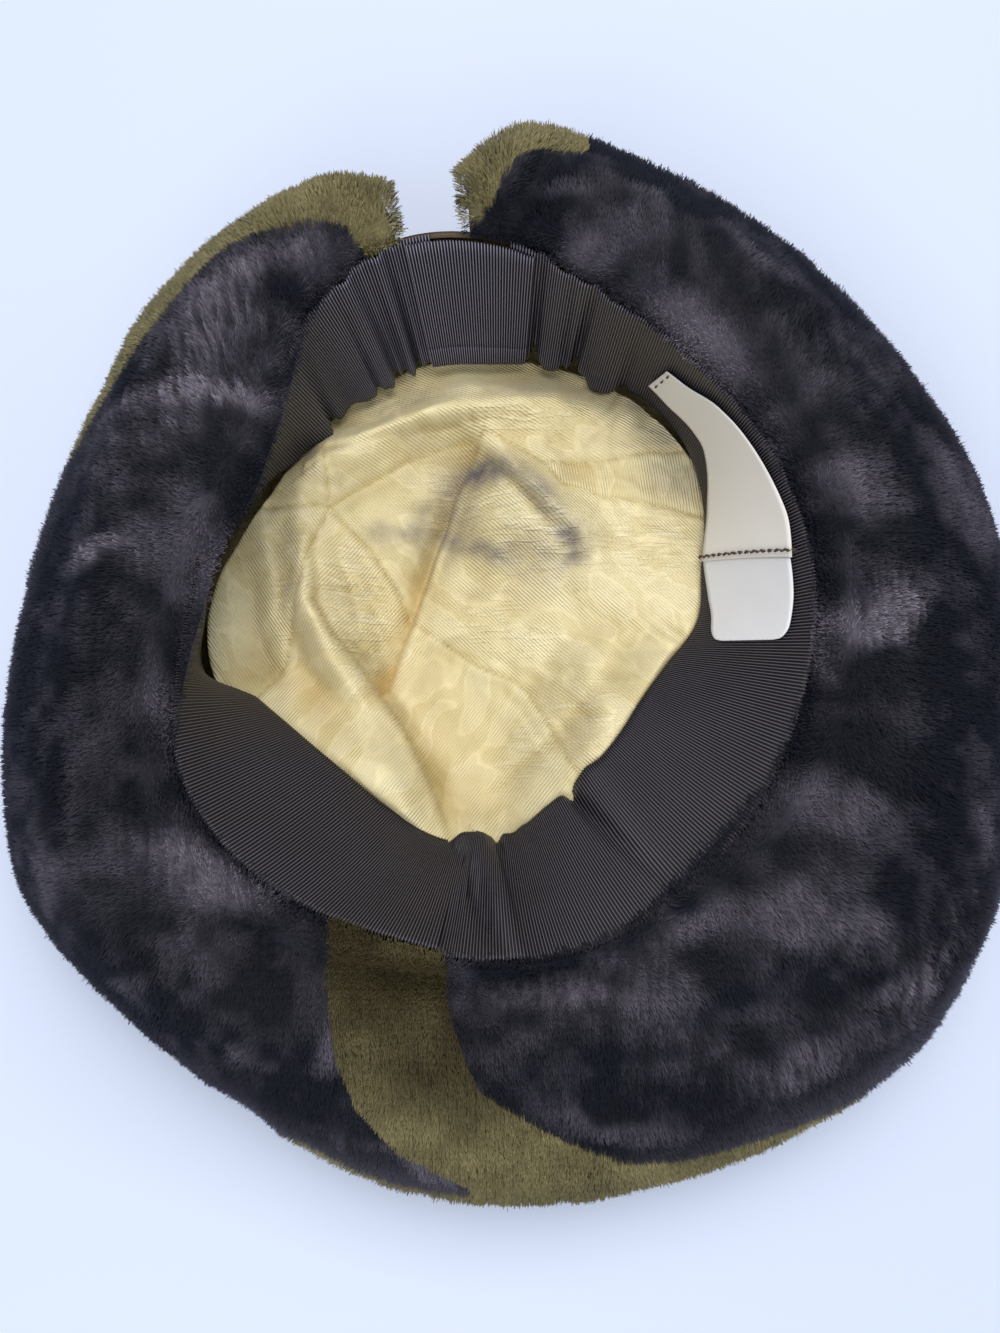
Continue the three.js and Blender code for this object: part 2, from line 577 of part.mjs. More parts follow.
// A closed wall from a sheet of points and faces, whose first ring of points is its free edge
function thickSheet(points, faces, edgeCount, thickness) {
  const sheet = new THREE.BufferGeometry();
  sheet.setAttribute('position', new THREE.Float32BufferAttribute(points.flatMap((p) => [p.x, p.y, p.z]), 3));
  sheet.setIndex(faces);
  sheet.computeVertexNormals();
  const normals = sheet.attributes.normal;
  const up = normals.getZ(points.length - 1) > 0 ? 1 : -1;
  const outer = points.map((p, i) => {
    if (p.z <= thickness) {
      return new THREE.Vector3(p.x, p.y, 0);
    }
    const n = new THREE.Vector3().fromBufferAttribute(normals, i).multiplyScalar(-up * thickness);
    const q = p.clone().add(n);
    q.z = Math.max(q.z, 0);
    return q;
  });
  const count = points.length;
  const all = [...points, ...outer].flatMap((p) => [p.x, p.y, p.z]);
  const shell = [...faces];
  for (let i = 0; i < faces.length; i += 3) {
    shell.push(faces[i] + count, faces[i + 2] + count, faces[i + 1] + count);
  }
  for (let i = 0; i < edgeCount; i += 1) {
    const j = (i + 1) % edgeCount;
    shell.push(i, i + count, j, j, i + count, j + count);
  }
  const body = new THREE.BufferGeometry();
  body.setAttribute('position', new THREE.Float32BufferAttribute(all, 3));
  body.setIndex(shell);
  return outward(body);
}

// Middle line of the brim in one section, from the head seam (t = 0) to the outer edge (t = 1)
const BRIM_OUT = 6.5;           // how far outside the head seam and under it the middle line starts
const BRIM_UNDER = 6;
const SEAM_ROUNDING = 0.12;     // shares of a section over which the brim thins to the head seam and the edge
const SEAM_SHARE = 0.55;        // of its thickness left at the head seam
const EDGE_ROUNDING = 0.16;
function brimSpine(angle, t) {
  const start = new THREE.Vector3(head('seam', angle) + BRIM_OUT, 0, head('top', angle) - BRIM_UNDER);
  const crest = new THREE.Vector3(
    start.x + brim('crestAt', angle), 0, head('top', angle) + brim('crest', angle) - BRIM_THICK / 2);
  const edge = new THREE.Vector3(brim('edge', angle) - EDGE_PILE, 0, brim('low', angle));
  const middle = crest.clone().lerp(edge, 0.5);
  middle.z -= brim('sag', angle);
  const curve = new THREE.CatmullRomCurve3([start, crest, middle, edge], false, 'centripetal');
  return { point: curve.getPoint(t), along: curve.getTangent(t) };
}

// Half thickness of the brim along a section, rounded at the head seam and at the edge
function brimHalf(angle, t) {
  const atSeam = mix(SEAM_SHARE, 1, Math.sqrt(clamp(t / SEAM_ROUNDING, 0, 1)));
  const atEdge = Math.sqrt(clamp((1 - t) / EDGE_ROUNDING, 0, 1));
  const end = Math.min(angle - BRIM_ROWS[0].at, BRIM_ROWS[BRIM_ROWS.length - 1].at - angle);
  const taper = END_SHARE + (1 - END_SHARE) * Math.sqrt(clamp(end / END_ROUNDING, 0, 1));
  return (BRIM_THICK / 2) * Math.min(atSeam, atEdge) * taper;
}

// A place in the brim: side 1 is the under side that faces up, -1 the upper side that faces down
function brimPoint(angle, t, side) {
  const { point, along } = brimSpine(angle, t);
  const flat = polar(angle, point.x, 0);
  const folds = BRIM_FOLDS.reduce((sum, fold) => sum + foldHeight(fold, flat.x, flat.y), 0);
  const half = brimHalf(angle, t);
  const raised = side > 0 ? side * folds * (half / (BRIM_THICK / 2)) : 0;
  const off = half * side + raised;
  return polar(angle, point.x - along.z * off, Math.max(point.z + along.x * off, 1));
}

// Where the dark plush ends along a section, as a share of its length
const WIDEST_OLIVE = 12;
function darkEnd(angle) {
  const length = brim('edge', angle) - head('seam', angle);
  return 1 - clamp(brim('olive', angle), 0, WIDEST_OLIVE) / length;
}

// Places of a section's points on either layer's outside, and on the surface between the layers
const ACROSS = [0.06, 0.16, 0.32, 0.52, 0.72, 0.9, 1];
const PARTING = [0, 0.4, 0.8, 1];
const TURN_FROM = 0.8;          // where that surface starts to turn up to the under side
const THINNEST = 0.01;

// The surface between the two layers: along the middle, and turned up to the under side where the dark
// plush ends
function partingPoint(angle, share, offset) {
  const end = darkEnd(angle);
  const t = share * end;
  const turn = smoothstep(clamp((share - TURN_FROM) / (1 - TURN_FROM), 0, 1));
  const half = Math.max(brimHalf(angle, t), THINNEST);
  return brimPoint(angle, t, clamp(turn + offset / half, -1, 1));
}

function brimAngles() {
  const [from, to] = [BRIM_ROWS[0].at, BRIM_ROWS[BRIM_ROWS.length - 1].at];
  return Array.from({ length: BRIM_SECTIONS + 1 }, (unused, i) => mix(from, to, i / BRIM_SECTIONS));
}

// The lip of the under layer that reaches in over the crown's edge to the ribbon
const LIP_IN = RIBBON_THICK + 0.4;
const LIP_OUT = 5;
const LIP_UNDER = 2.2;
const LIP_OVER = 0.4;
const LIP_LEAN = 0.06;          // share of the ribbon's outward lean that the lip keeps clear of
function lipPoints(angle) {
  const [seam, top] = [head('seam', angle), head('top', angle)];
  const inner = LIP_IN + LIP_LEAN * outwardLean(angle);
  return [[LIP_OUT, -LIP_UNDER], [inner, -LIP_UNDER], [inner, LIP_OVER]]
    .map(([out, rise]) => polar(angle, seam + out, top + rise));
}

// The dark layer, which is the brim's under side
function underBody() {
  return toSolid(loftRings(brimAngles().map((angle) => [
    ...lipPoints(angle),
    ...ACROSS.map((t) => brimPoint(angle, t * darkEnd(angle), 1)),
    ...PARTING.slice(0, -1).reverse().map((share) => partingPoint(angle, share, GAP / 2)),
  ]), false));
}

// The olive layer, which is the brim's upper side and its rim. A gap parts it from the dark layer.
function upperBody() {
  return toSolid(loftRings(brimAngles().map((angle) => [
    ...[0, ...ACROSS].map((t) => brimPoint(angle, t, -1)),
    ...[0.5, 1].map((t) => brimPoint(angle, mix(1, darkEnd(angle), t), 1)),
    ...PARTING.slice(0, -1).reverse().map((share) => partingPoint(angle, share, -GAP / 2)),
  ]), false));
}

// Rows of locks of pile. t: where their roots are along a section; side: as for brimPoint; count: locks
// in the row
const UNDER_LOCK_ROWS = [
  { t: 0.2, side: 1, count: 24 },
  { t: 0.42, side: 1, count: 27 },
  { t: 0.64, side: 1, count: 30 },
];
const UPPER_LOCK_ROWS = [
  { t: 0.46, side: -1, count: 22 },
  { t: 0.74, side: -1, count: 34 },
];
const LOCK_REACH = 0.25;        // how far along the section a lock's tip lies from its root
const ROOT_DEPTH = 0.75;        // places of its root and tip between the middle of the brim and the surface
const TIP_DEPTH = 1.25;
const LOCK_ROOT = 0.25;         // share of a lock's length behind its root
const LOCK_TURN = 0.3;          // how far a lock leans to one side of the way out
const LOCK_VARIES = 0.3;        // difference in size between the smallest and the largest lock
const END_MARGIN = 3;           // degrees kept free of locks at both ends of the brim

// One lock: a flattened four-sided point of pile that lies along the nap
function lockShape(angle, row, turn, size) {
  const root = brimPoint(angle, row.t, row.side * ROOT_DEPTH);
  const nap = brimPoint(angle, Math.min(row.t + LOCK_REACH, 1), row.side * TIP_DEPTH).sub(root).normalize();
  const across = polar(angle + 90, 1, 0);
  const up = new THREE.Vector3().crossVectors(nap, across).normalize();
  nap.addScaledVector(across, turn).normalize();
  const side = new THREE.Vector3().crossVectors(nap, up).normalize();
  const normal = new THREE.Vector3().crossVectors(side, nap);
  const cone = new THREE.ConeGeometry(0.5, 1, 4, 1);
  cone.scale(LOCK_WIDTH * size, LOCK_LENGTH * size, LOCK_THICK);
  cone.translate(0, LOCK_LENGTH * size * (0.5 - LOCK_ROOT), 0);
  cone.applyMatrix4(new THREE.Matrix4().makeBasis(side, nap, normal));
  return cone.translate(root.x, root.y, root.z);
}

// Whether a place in plan lies inside an outline
function inside(outline, x, y) {
  let crossings = 0;
  outline.forEach(([ax, ay], i) => {
    const [bx, by] = outline[(i + 1) % outline.length];
    if (ay > y !== by > y && x < ax + ((y - ay) / (by - ay)) * (bx - ax)) {
      crossings += 1;
    }
  });
  return crossings % 2 === 1;
}

// Fuses rows of locks to a body. Only locks that lie in its own part of the plan and off its neighbours
// are kept.
function addLocks(body, rows, holds, neighbours) {
  const [from, to] = [BRIM_ROWS[0].at + END_MARGIN, BRIM_ROWS[BRIM_ROWS.length - 1].at - END_MARGIN];
  let fused = body;
  rows.forEach((row, r) => {
    for (let i = 0; i < row.count; i += 1) {
      const random = (n) => THREE.MathUtils.seededRandom(1000 * r + 7 * i + 131 * n + 1);
      const place = (i + 0.25 + 0.5 * random(1)) / row.count;
      const turn = LOCK_TURN * (2 * random(2) - 1);
      const size = 1 + LOCK_VARIES * (random(3) - 0.5);
      const lock = lockShape(mix(from, to, place), row, turn, size);
      const corners = lock.attributes.position;
      const numbers = Array.from({ length: corners.count }, (unused, c) => c);
      const placed = numbers.every((c) => holds(corners.getX(c), corners.getY(c)));
      const solid = toSolid(lock);
      if (placed && neighbours.every((other) => solid.intersect(other).getMesh().triVerts.length === 0)) {
        fused = fused.add(solid);
      }
    }
  });
  return fused;
}

// Plan region that holds the left half of the under layer. Its border runs inside the olive panel and
// the split.
const LEFT_HALF = [
  [-60, 0], [-30, -40], [-28, -110], [-12, -145], [10, -165], [20, -240], [-240, -240], [-240, 240],
  [-18, 240], [-18, 60],
];

// The far corners that close the plan region of each crown panel outside the crown's wall
const CROWN_PANELS = {
  crown_panel_back: [
    ...SEAM_UP.slice(1).reverse(), ...SEAM_BETWEEN, ...SEAM_RIGHT_HIGH.slice(1), [200, 250], [-62, 250]],
  crown_panel_gusset: [...SEAM_RIGHT_HIGH.slice(1).reverse(), ...SEAM_RIGHT_LOW, [160, 60]],
  crown_panel_right: [
    ...SEAM_RIGHT_LOW.slice(1).reverse(), ...[...SEAM_BETWEEN].reverse(), ...SEAM_FRONT.slice(1),
    [250, -250], [250, 30]],
  crown_panel_front: [...SEAM_FRONT.slice(1).reverse(), ...SEAM_FRONT_LEFT, [-250, -250], [62, -250]],
  crown_panel_left: [...SEAM_FRONT_LEFT.slice(1).reverse(), ...SEAM_LEFT, [-250, 42], [-250, -250]],
  crown_panel_corner: [...SEAM_LEFT.slice(1).reverse(), ...SEAM_UP, [-250, 250]],
};

const material = (color, roughness) => new THREE.MeshStandardMaterial({ color, roughness, metalness: 0 });
const MATERIALS = {
  brocade: material('#e9dca0', 0.6),
  grosgrain: material('#322c2b', 0.7),
  darkFur: material('#2f2c35', 0.95),
  oliveFur: material('#6a6636', 0.95),
  satin: material('#e9e7e1', 0.4),
  tape: material('#f2f2ef', 0.7),
};

const group = new THREE.Group();
function addMesh(name, geometry, look) {
  const mesh = new THREE.Mesh(geometry, look.clone());
  mesh.name = name;
  group.add(mesh);
}

function addCrown() {
  const shell = toSolid(buildCrown());
  for (const [name, outline] of Object.entries(CROWN_PANELS)) {
    const panel = shell.intersect(planPrism(moved(outline, -SEAM_SLIT / 2)));
    addMesh(name, toGeometry(panel), MATERIALS.brocade);
  }
}

function addBrim() {
  const body = underBody();
  const aroundOlive = moved(OLIVE_OUTLINE, GAP);
  const [left, outsideOlive] = [planPrism(LEFT_HALF), body.subtract(planPrism(aroundOlive))];
  const pieces = [
    ['brim_under_fur_left', outsideOlive.intersect(left), MATERIALS.darkFur,
      (x, y) => inside(LEFT_HALF, x, y) && !inside(aroundOlive, x, y)],
    ['brim_under_fur_right', outsideOlive.subtract(left), MATERIALS.darkFur,
      (x, y) => !inside(LEFT_HALF, x, y) && !inside(aroundOlive, x, y)],
    ['brim_olive_panel', body.intersect(planPrism(OLIVE_OUTLINE)), MATERIALS.oliveFur,
      (x, y) => inside(OLIVE_OUTLINE, x, y)],
  ];
  const [upper, band] = [upperBody(), toSolid(buildSweatband())];
  const under = pieces.map(([name, piece, look, holds]) => {
    const furry = addLocks(piece, UNDER_LOCK_ROWS, holds, [upper, band]);
    addMesh(name, toGeometry(furry), look);
    return furry;
  });
  const furry = addLocks(upper, UPPER_LOCK_ROWS, () => true, under);
  addMesh('brim_upper_fur', toGeometry(furry), MATERIALS.oliveFur);
}

// Moves the whole hat so that the middle of its box is over the origin
function centre() {
  const box = new THREE.Box3().setFromObject(group);
  const middle = box.getCenter(new THREE.Vector3());
  for (const mesh of group.children) {
    mesh.geometry.translate(-middle.x, -middle.y, -box.min.z);
  }
}

addMesh('sweatband', buildSweatband(), MATERIALS.grosgrain);
addMesh('sweatband_back_lap', buildBackLap(), MATERIALS.grosgrain);
addMesh('satin_label', labelLoft(SATIN_LABEL_ROWS), MATERIALS.satin);
addMesh('care_label', labelLoft(CARE_LABEL_ROWS), MATERIALS.tape);
addCrown();
addBrim();
centre();

export default group;
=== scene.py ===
"""A soft pieced brocade hat with a wide split brim of plush, lying upside down on its crushed crown."""

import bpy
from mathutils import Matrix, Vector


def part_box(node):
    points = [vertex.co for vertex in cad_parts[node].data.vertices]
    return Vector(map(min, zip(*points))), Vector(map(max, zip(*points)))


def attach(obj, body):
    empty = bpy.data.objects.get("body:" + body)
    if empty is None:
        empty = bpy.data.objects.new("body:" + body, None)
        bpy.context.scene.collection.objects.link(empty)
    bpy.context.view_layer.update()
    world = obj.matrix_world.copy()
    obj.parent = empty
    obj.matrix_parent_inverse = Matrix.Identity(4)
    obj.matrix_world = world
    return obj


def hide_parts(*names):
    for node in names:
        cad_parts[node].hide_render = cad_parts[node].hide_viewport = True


bl_info = {
    "name": "Brocade hat with a plush brim",
    "version": (1, 0, 0),
    "blender": (4, 5, 0),
    "location": "3D View > Sidebar > Hat",
    "description": "Dresses the packed hat with brocade, grosgrain, plush and bare labels",
    "category": "Add Mesh",
}

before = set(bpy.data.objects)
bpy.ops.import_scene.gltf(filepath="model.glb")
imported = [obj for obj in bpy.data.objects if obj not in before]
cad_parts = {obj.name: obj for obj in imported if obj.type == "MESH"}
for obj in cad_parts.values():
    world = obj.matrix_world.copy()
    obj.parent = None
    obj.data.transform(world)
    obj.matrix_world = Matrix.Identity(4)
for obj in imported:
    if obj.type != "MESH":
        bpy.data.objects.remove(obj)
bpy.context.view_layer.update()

import math

import bpy
import numpy as np
from mathutils import Vector

MM = 0.001

# Tables, in millimetres and degrees


def table(names, rows):
    """A short table as one array for each named column."""
    values = np.array(rows, float)
    return {name: values[:, i] for i, name in enumerate(names.split())}


# The sweatband and head seam, anticlockwise from the hat's right as one looks down into it.
# seam: radius of the head seam; top: its height; free: radius of the ribbon's free edge.
HEAD = table("at seam top free", [
    (0, 85.5, 86, 60), (15, 85, 86, 64), (30, 84.5, 86, 73), (45, 84.5, 85, 81), (60, 87, 84, 84.5),
    (75, 93, 83, 86), (90, 101.5, 82, 83), (105, 104, 82, 84), (120, 96.5, 83, 83), (135, 85, 85, 79.5),
    (150, 79.5, 87, 82), (165, 79, 88, 86), (180, 80, 88, 87.5), (190, 84.4, 87.4, 88.5),
    (195, 87, 87, 79), (198, 88.6, 86.7, 74.5), (210, 95, 85, 67), (225, 96.5, 82, 63),
    (240, 95, 79, 64), (255, 94.5, 77, 68), (270, 96, 76, 66), (285, 95.5, 77, 57), (300, 93, 79, 52.5),
    (315, 90, 82, 49.5), (330, 87, 84, 48.5), (345, 85.5, 85, 52),
])

# Soft pleats and puffs of the ribbon.
# rise, seam_rise: how far it stands into the hollow at its free edge and at the head seam.
RIBBON_FOLDS = table("at wide rise seam_rise", [
    (76, 4.5, 4.5, 1.5), (66, 4.5, 6, 1), (109, 2.2, 2.5, 1), (116, 4.5, 4, 1.5), (130, 5, 3.5, 1),
    (265, 2.5, 6, 0.5), (271, 3, 3, 1.5), (300, 4, 3, 0),
])

# Fine gathers of the ribbon, each along a line from the head seam to the free edge, as above
GATHERS = table("seam_at free_at wide seam_rise rise", [
    (113, 111.5, 0.7, -1, -3.4), (115, 113.2, 0.8, 0.9, 1.8), (110.8, 109.6, 0.7, -1, -3.4),
    (117, 116.2, 0.7, -0.8, -3.4), (109, 108, 0.7, 0.9, 1.8), (107.2, 106.6, 0.5, -1, -3.6),
    (105.9, 105.4, 0.5, 1, 1.6), (127, 128.5, 1.2, -1, -4.6), (121, 120, 2, 0.4, 1.4),
    (82.3, 82, 0.8, -1, -5), (79, 79, 1.4, 0.8, 1.6), (76.5, 75.6, 0.8, -0.8, -2.8),
    (72.3, 73.4, 0.9, -1, -5.2), (69, 68.6, 1.6, 0.8, 1.8), (62.5, 62, 1.2, -0.4, -2.5),
    (278, 270.5, 1, -0.6, -3), (283, 277, 1.6, 0.4, 0.8), (303.5, 292.5, 1.7, -1, -5),
    (141, 141, 3, 0.2, 0.8),
])
# The loop of the front pleat from the head seam to the free edge: its angle, half width in degrees, height, and
# the depth of the hollow beside it. It rises out of the soft fold at PLEAT_FOLD_AT.
PLEAT = table("share at half rise hollow", [
    (0, 274, 1.3, 1, 0.3), (0.3, 271.5, 2.2, 3.2, 3), (0.6, 269, 3.2, 5, 5), (0.8, 266.3, 4, 5.6, 3),
    (1, 263.6, 4.8, 5.8, 0),
])
PLEAT_FOLD_AT = 265
# Where the left part of the ribbon ends over the right one, from the head seam to the free edge
LAPPED_END = table("share at", [(0, 261), (0.26, 260.8), (0.45, 263.4), (0.64, 265.3), (0.8, 262.5), (1, 258)])
# How far the ribs lean by the free edge, in degrees of the head seam
RIB_LEAN = table("at wide turn", [(240, 17, 6), (292, 17, -5), (130, 16, -4)])
# Painted sheen at the back, where the ribbon faces the light: the share of its paler tone
BACK_SHEEN = table("at wide share", [(104, 36, 0.85)])

# The brim from its left end at the back, round the front, to its right end.
# edge: radius of the outer edge; low: its height; crest, crest_at: how high the plush stands over the head
# seam and how far out; sag: how much the middle hangs; olive: width of the olive plush inside the edge.
BRIM = table("at edge low crest crest_at sag olive", [
    (104.5, 127, 60, 3, 9, 0, 8), (110, 134, 55, 5, 11, -2, 9), (120, 140, 49, 6, 14, -4, 9),
    (135, 142, 43, 6, 16, -5, 8), (150, 140.5, 39, 5, 16, -5, 6), (165, 141, 36, 5, 16, -5, 2),
    (180, 145, 34, 4, 16, -4, 0), (195, 154, 30, 4, 18, -5, 0), (210, 164, 27, 5, 20, -5, 0),
    (225, 161.5, 26, 5, 20, -5, 0), (240, 161.5, 28, 5, 18, -6, 0), (255, 169, 30, 7, 11, -5, 0),
    (270, 172.5, 31, 9, 9, -3, 0), (285, 173, 33, 9, 10, -3, 0), (300, 175, 36, 8, 14, -3, 0),
    (315, 177, 38, 5, 20, -4, 0), (330, 171.5, 37, 4, 22, -5, 0), (345, 161.5, 35, 4, 20, -5, 0),
    (360, 157.5, 34, 4, 18, -5, 0), (375, 154.5, 36, 4, 18, -5, 0), (390, 148, 40, 4, 17, -5, 0),
    (405, 145, 44, 5, 16, -5, 0), (420, 143.5, 48, 6, 15, -4, 0), (435, 144.5, 53, 7, 14, -3, 2),
    (445, 146.5, 57, 7, 14, -2, 8), (450, 142, 60, 6, 12, 0, 9), (454.5, 131, 64, 4, 10, 0, 9),
])

# Soft ridges (rise above 0) and hollows of the brim's under side: spread to the left and right of a path, and
# the path in plan from the middle of the head opening as (x, y, rise).
BRIM_FOLDS = [
    (4, 6, [(0, 98, -3), (6, 111, -4), (13, 119, -4), (22, 124, -2)]),
    (10, 8, [(-10, -103, 1), (12, -104, 3), (38, -96, 3), (60, -84, 2)]),
    (9, 12, [(22, -122, -1), (48, -114, -3), (76, -98, -2)]),
    (14, 14, [(-112, 62, -2), (-118, 20, -3), (-112, -22, -1)]),
    (14, 14, [(-118, -50, 1), (-100, -84, 3), (-74, -108, 2)]),
    (13, 15, [(96, 72, -1), (116, 30, -3), (122, -12, -2)]),
    (15, 15, [(128, -44, 1), (124, -84, 3), (98, -112, 2)]),
    (9, 10, [(50, 100, 1), (66, 92, 2), (82, 80, 1)]),
]
# Where the plush flops in over the ribbon, and how far
OVERHANG = table("at wide rise", [(138, 14, 6), (158, 15, 9), (186, 16, 4), (309, 18, 5)])

# The crown. belly: widest radius of the wall; ring: radius of the ring that lies on the surface; near, mid:
# heights of the crushed tip at two shares of the way out; under: how far it passes under the ribbon's edge.
CROWN = table("at belly ring near mid under", [
    (0, 95, 89, 37, 42, 3), (30, 95, 91, 40, 42, 3), (60, 99, 95, 43, 41, 3), (90, 109, 98, 42, 38, 7),
    (120, 103, 97, 29, 32, 7), (150, 93, 91, 25, 28, 6), (180, 94, 92, 21, 27, 5),
    (210, 101, 92, 17, 26, 5), (240, 102, 91, 19, 25, 5), (270, 102, 92, 24, 26, 5),
    (300, 100, 90, 30, 40, 3.5), (330, 96, 88, 34, 45, 3),
])
WALL_FOLDS = table("at wide rise", [
    (8, 9, 3), (40, 7, -3), (68, 8, 3), (97, 6, -3), (128, 8, 2.5), (156, 6, -2.5), (188, 8, 3),
    (222, 7, -3), (250, 9, 3), (283, 6, -3), (311, 8, 2.5), (338, 6, -2.5),
])
# How much farther out the crushed tip lies where the ribbon leans out
TIP_SPREAD = table("at wide rise", [(182, 27, 8.5)])
# The wall's curve from the ring up to the head seam. out: 0 at the seam, 1 at the belly, 2 at the ring;
# high: share of the seam's height.
WALL_KNOTS = table("out high", [(1.6, 0.17), (1, 0.44), (0.7, 0.72), (0, 0.955)])
# Folds of the crushed tip, as the brim's above
CROWN_FOLDS = [
    (9, 15, [
        (-20, -62, 6), (-28, -46, 12), (-37, -27, 17), (-49, -9, 19), (-56, 8, 18), (-57, 24, 15),
        (-58, 42, 9),
    ]),
    (8, 9, [(-50, 50, 8), (-29, 62, 13), (-8, 68, 13), (18, 66, 10), (38, 62, 4)]),
    (10, 12, [(22, 18, 5), (18, 31, 9), (10, 42, 10), (0, 54, 6)]),
    (5, 9, [(-8, 46, -6), (-14, 30, -8), (-22, 13, -7), (-26, 0, -4)]),
    (6, 11, [
        (-44, 8, -4), (-39, -9, -8), (-33, -21, -9), (-25, -34, -8), (-19, -46, -7), (-10, -58, -5),
    ]),
    (6, 8, [(24, -8, 3), (30, -24, 5), (24, -40, 2)]),
    (7, 9, [(34, 12, 2), (46, 0, 4), (50, -14, 2)]),
]

# Seams of the crown in plan, and the puckers and creases beside them as soft folds like those above
LEFT_JUNCTION = (-51, 36)
SEAMS = {
    "between": [LEFT_JUNCTION, (-43, 42), (-34, 47), (-27, 51), (-15, 55), (-1, 57), (14, 48)],
    "up": [LEFT_JUNCTION, (-51, 44), (-52, 51), (-55, 65), (-62, 130)],
    "left": [LEFT_JUNCTION, (-71, 36), (-140, 42)],
    "front_left": [LEFT_JUNCTION, (-56, 24), (-60, 7), (-64, -12), (-115, -80)],
    "front": [
        LEFT_JUNCTION, (-45, 30), (-39, 24), (-32, 14), (-27, 3), (-15, -5), (-5, -12), (5, -16), (10, -20),
        (25, -48), (62, -130),
    ],
    "right_high": [(14, 48), (34, 50), (47, 53), (64, 55), (125, 78)],
    "right_low": [(14, 48), (20, 41), (34, 38), (50, 36), (64, 33), (140, 30)],
}
CREASES = [
    (1, 5, [
        (-9, 48, -1), (-13, 41, -3), (-15, 35, -3.5), (-20, 23, -3.5), (-25, 8, -3), (-30, -6, -3),
        (-34, -19, -3),
    ]),
    (5, 1, [
        (-6, 49, 0.8), (-11, 41, 1.8), (-13, 35, 2.2), (-18, 23, 2), (-23, 8, 1.6), (-28, -6, 1),
        (-32, -18, 0.3),
    ]),
    (5, 1.8, [(-9, 61, 1.5), (1, 50, 3.4), (15, 35, 4.2), (26, 26, 3.6), (28, 20, 1.4), (26, 15, 0.4)]),
    (2, 2.5, [(-3, 52, -1), (5, 43, -1.6), (14, 31, -1.6), (20, 23, -1)]),
    (0.9, 8, [
        (-56, 37, 0), (-57, 22, 3), (-56, 6, 5), (-50, -5, 5), (-46, -9, 5), (-29, -33, 4),
        (-21, -50, 3), (-15, -65, 1.5),
    ]),
    (4, 1, [(-52, 55, 1), (-36, 58, 3.2), (-21, 61, 4), (-6, 63, 2.6), (6, 64, 1), (14, 65, 0)]),
    (3, 3, [(-50, 54, -1), (-35, 63, -2), (-18, 69, -2), (4, 69, -1)]),
    (5, 2.4, [(27, -6, 0), (29, -18, 1.2), (30, -30, 1.4), (25, -41, 1), (18, -48, 0.3)]),
    (1.2, 1.2, [(-14, 35, 0.4), (-2, 33, 0.8), (9, 29, 0.6), (17, 26, 0.2)]),
    (1.2, 1.2, [(-17, 28, 0.3), (-5, 24, 0.8), (7, 19, 0.7), (17, 18, 0.2)]),
    (1.5, 2, [(30, 18, 0.3), (44, 22, 0.9), (58, 30, 0.4)]),
    (1.5, 2, [(37, 7, 0.2), (50, 15, 0.8), (61, 23, 0.3)]),
    (1.5, 1.5, [(-47, 24, -0.3), (-45, 10, -0.8), (-42, -4, -0.8), (-38, -15, -0.3)]),
    (1.2, 1.2, [(-40, 18, -0.2), (-38, 3, -0.7), (-36, -10, -0.4)]),
    (1.5, 2, [(-3, -4, 0.2), (10, -12, 0.9), (20, -17, 0.3)]),
    (1.5, 2, [(1, -19, 0.2), (8, -29, 0.9), (17, -43, 0.6)]),
    (5, 5, [
        (-71, 36, 1), (-69.5, 20, 4.5), (-68, 5, 6), (-65, -8, 6.5), (-61, -18, 4.5), (-58, -28, 1.5),
    ]),
    (3, 3, [(-10, -30, 0.3), (-14, -44, 1.2), (-10, -62, 0.8)]),
]
# The panels. Each lies between two seams, and runs out past the corners between their names. After them come
# the seam that closes it, if one does, and the way that its threads run.
PANELS = [
    ("up", [(-62, 150), (125, 150)], "right_high", SEAMS["between"][::-1][1:], 62),
    ("right_high", [(160, 54)], "right_low", [], 8),
    ("right_low", [(160, -150)], "front", SEAMS["between"], 47),
    ("front", [(-115, -150)], "front_left", [], -38),
    ("front_left", [(-160, -60)], "left", [], 35),
    ("left", [(-140, 130)], "up", [], 50),
]
MIDDLE_GRAIN = 47.0

# Blue-grey paint that has bled through: middle, half sizes, turn of the long side, strength
SMUDGES = table("x y long short turn strength", [
    (-4, 46, 9, 5, 5, 0.85), (-5, 47, 5, 3, 0, 0.9), (8, 43, 9, 4, -38, 0.45),
    (15, 35, 7, 3.5, -50, 0.55), (-36, 30, 4.5, 3.5, 0, 0.5), (-27, 30, 5, 3, 10, 0.5),
    (-23, 37, 4, 2, 20, 0.35), (-14, 27, 6, 3.5, -40, 0.6), (-4, 23, 6, 3, -30, 0.6),
    (3, 21, 5, 2.5, 10, 0.5), (22, 25, 5, 3.5, -40, 0.85), (24, 19, 4.5, 2.5, 20, 0.6),
    (12, 20, 16, 8, -10, 0.3), (45, 70, 6, 4, 20, 0.6), (53, 59, 11, 5, 10, 0.4),
    (56, 44, 11, 7, 0, 0.4), (-25, 69, 7, 3, 20, 0.35), (10, 71, 9, 4, 5, 0.25),
    (-12, 38, 5, 12, 20, 0.42), (-19, 33, 9, 12, 0, 0.25),
])
# Where the cloth is crinkled into fine streaks across and down, with painted highlights along them, as above
ACROSS = table("x y long short turn strength", [
    (6, 31, 27, 12, -20, 1), (48, 24, 16, 12, -10, 0.7), (2, 0, 20, 8, -25, 0.6),
    (26, -30, 12, 12, 0, 0.5), (10, 62, 22, 6, 10, 0.5),
])
DOWN = table("x y long short turn strength", [
    (-42, 4, 9, 23, 10, 1), (10, -38, 8, 14, -30, 0.7), (-62, 10, 7, 20, 0, 0.6),
])
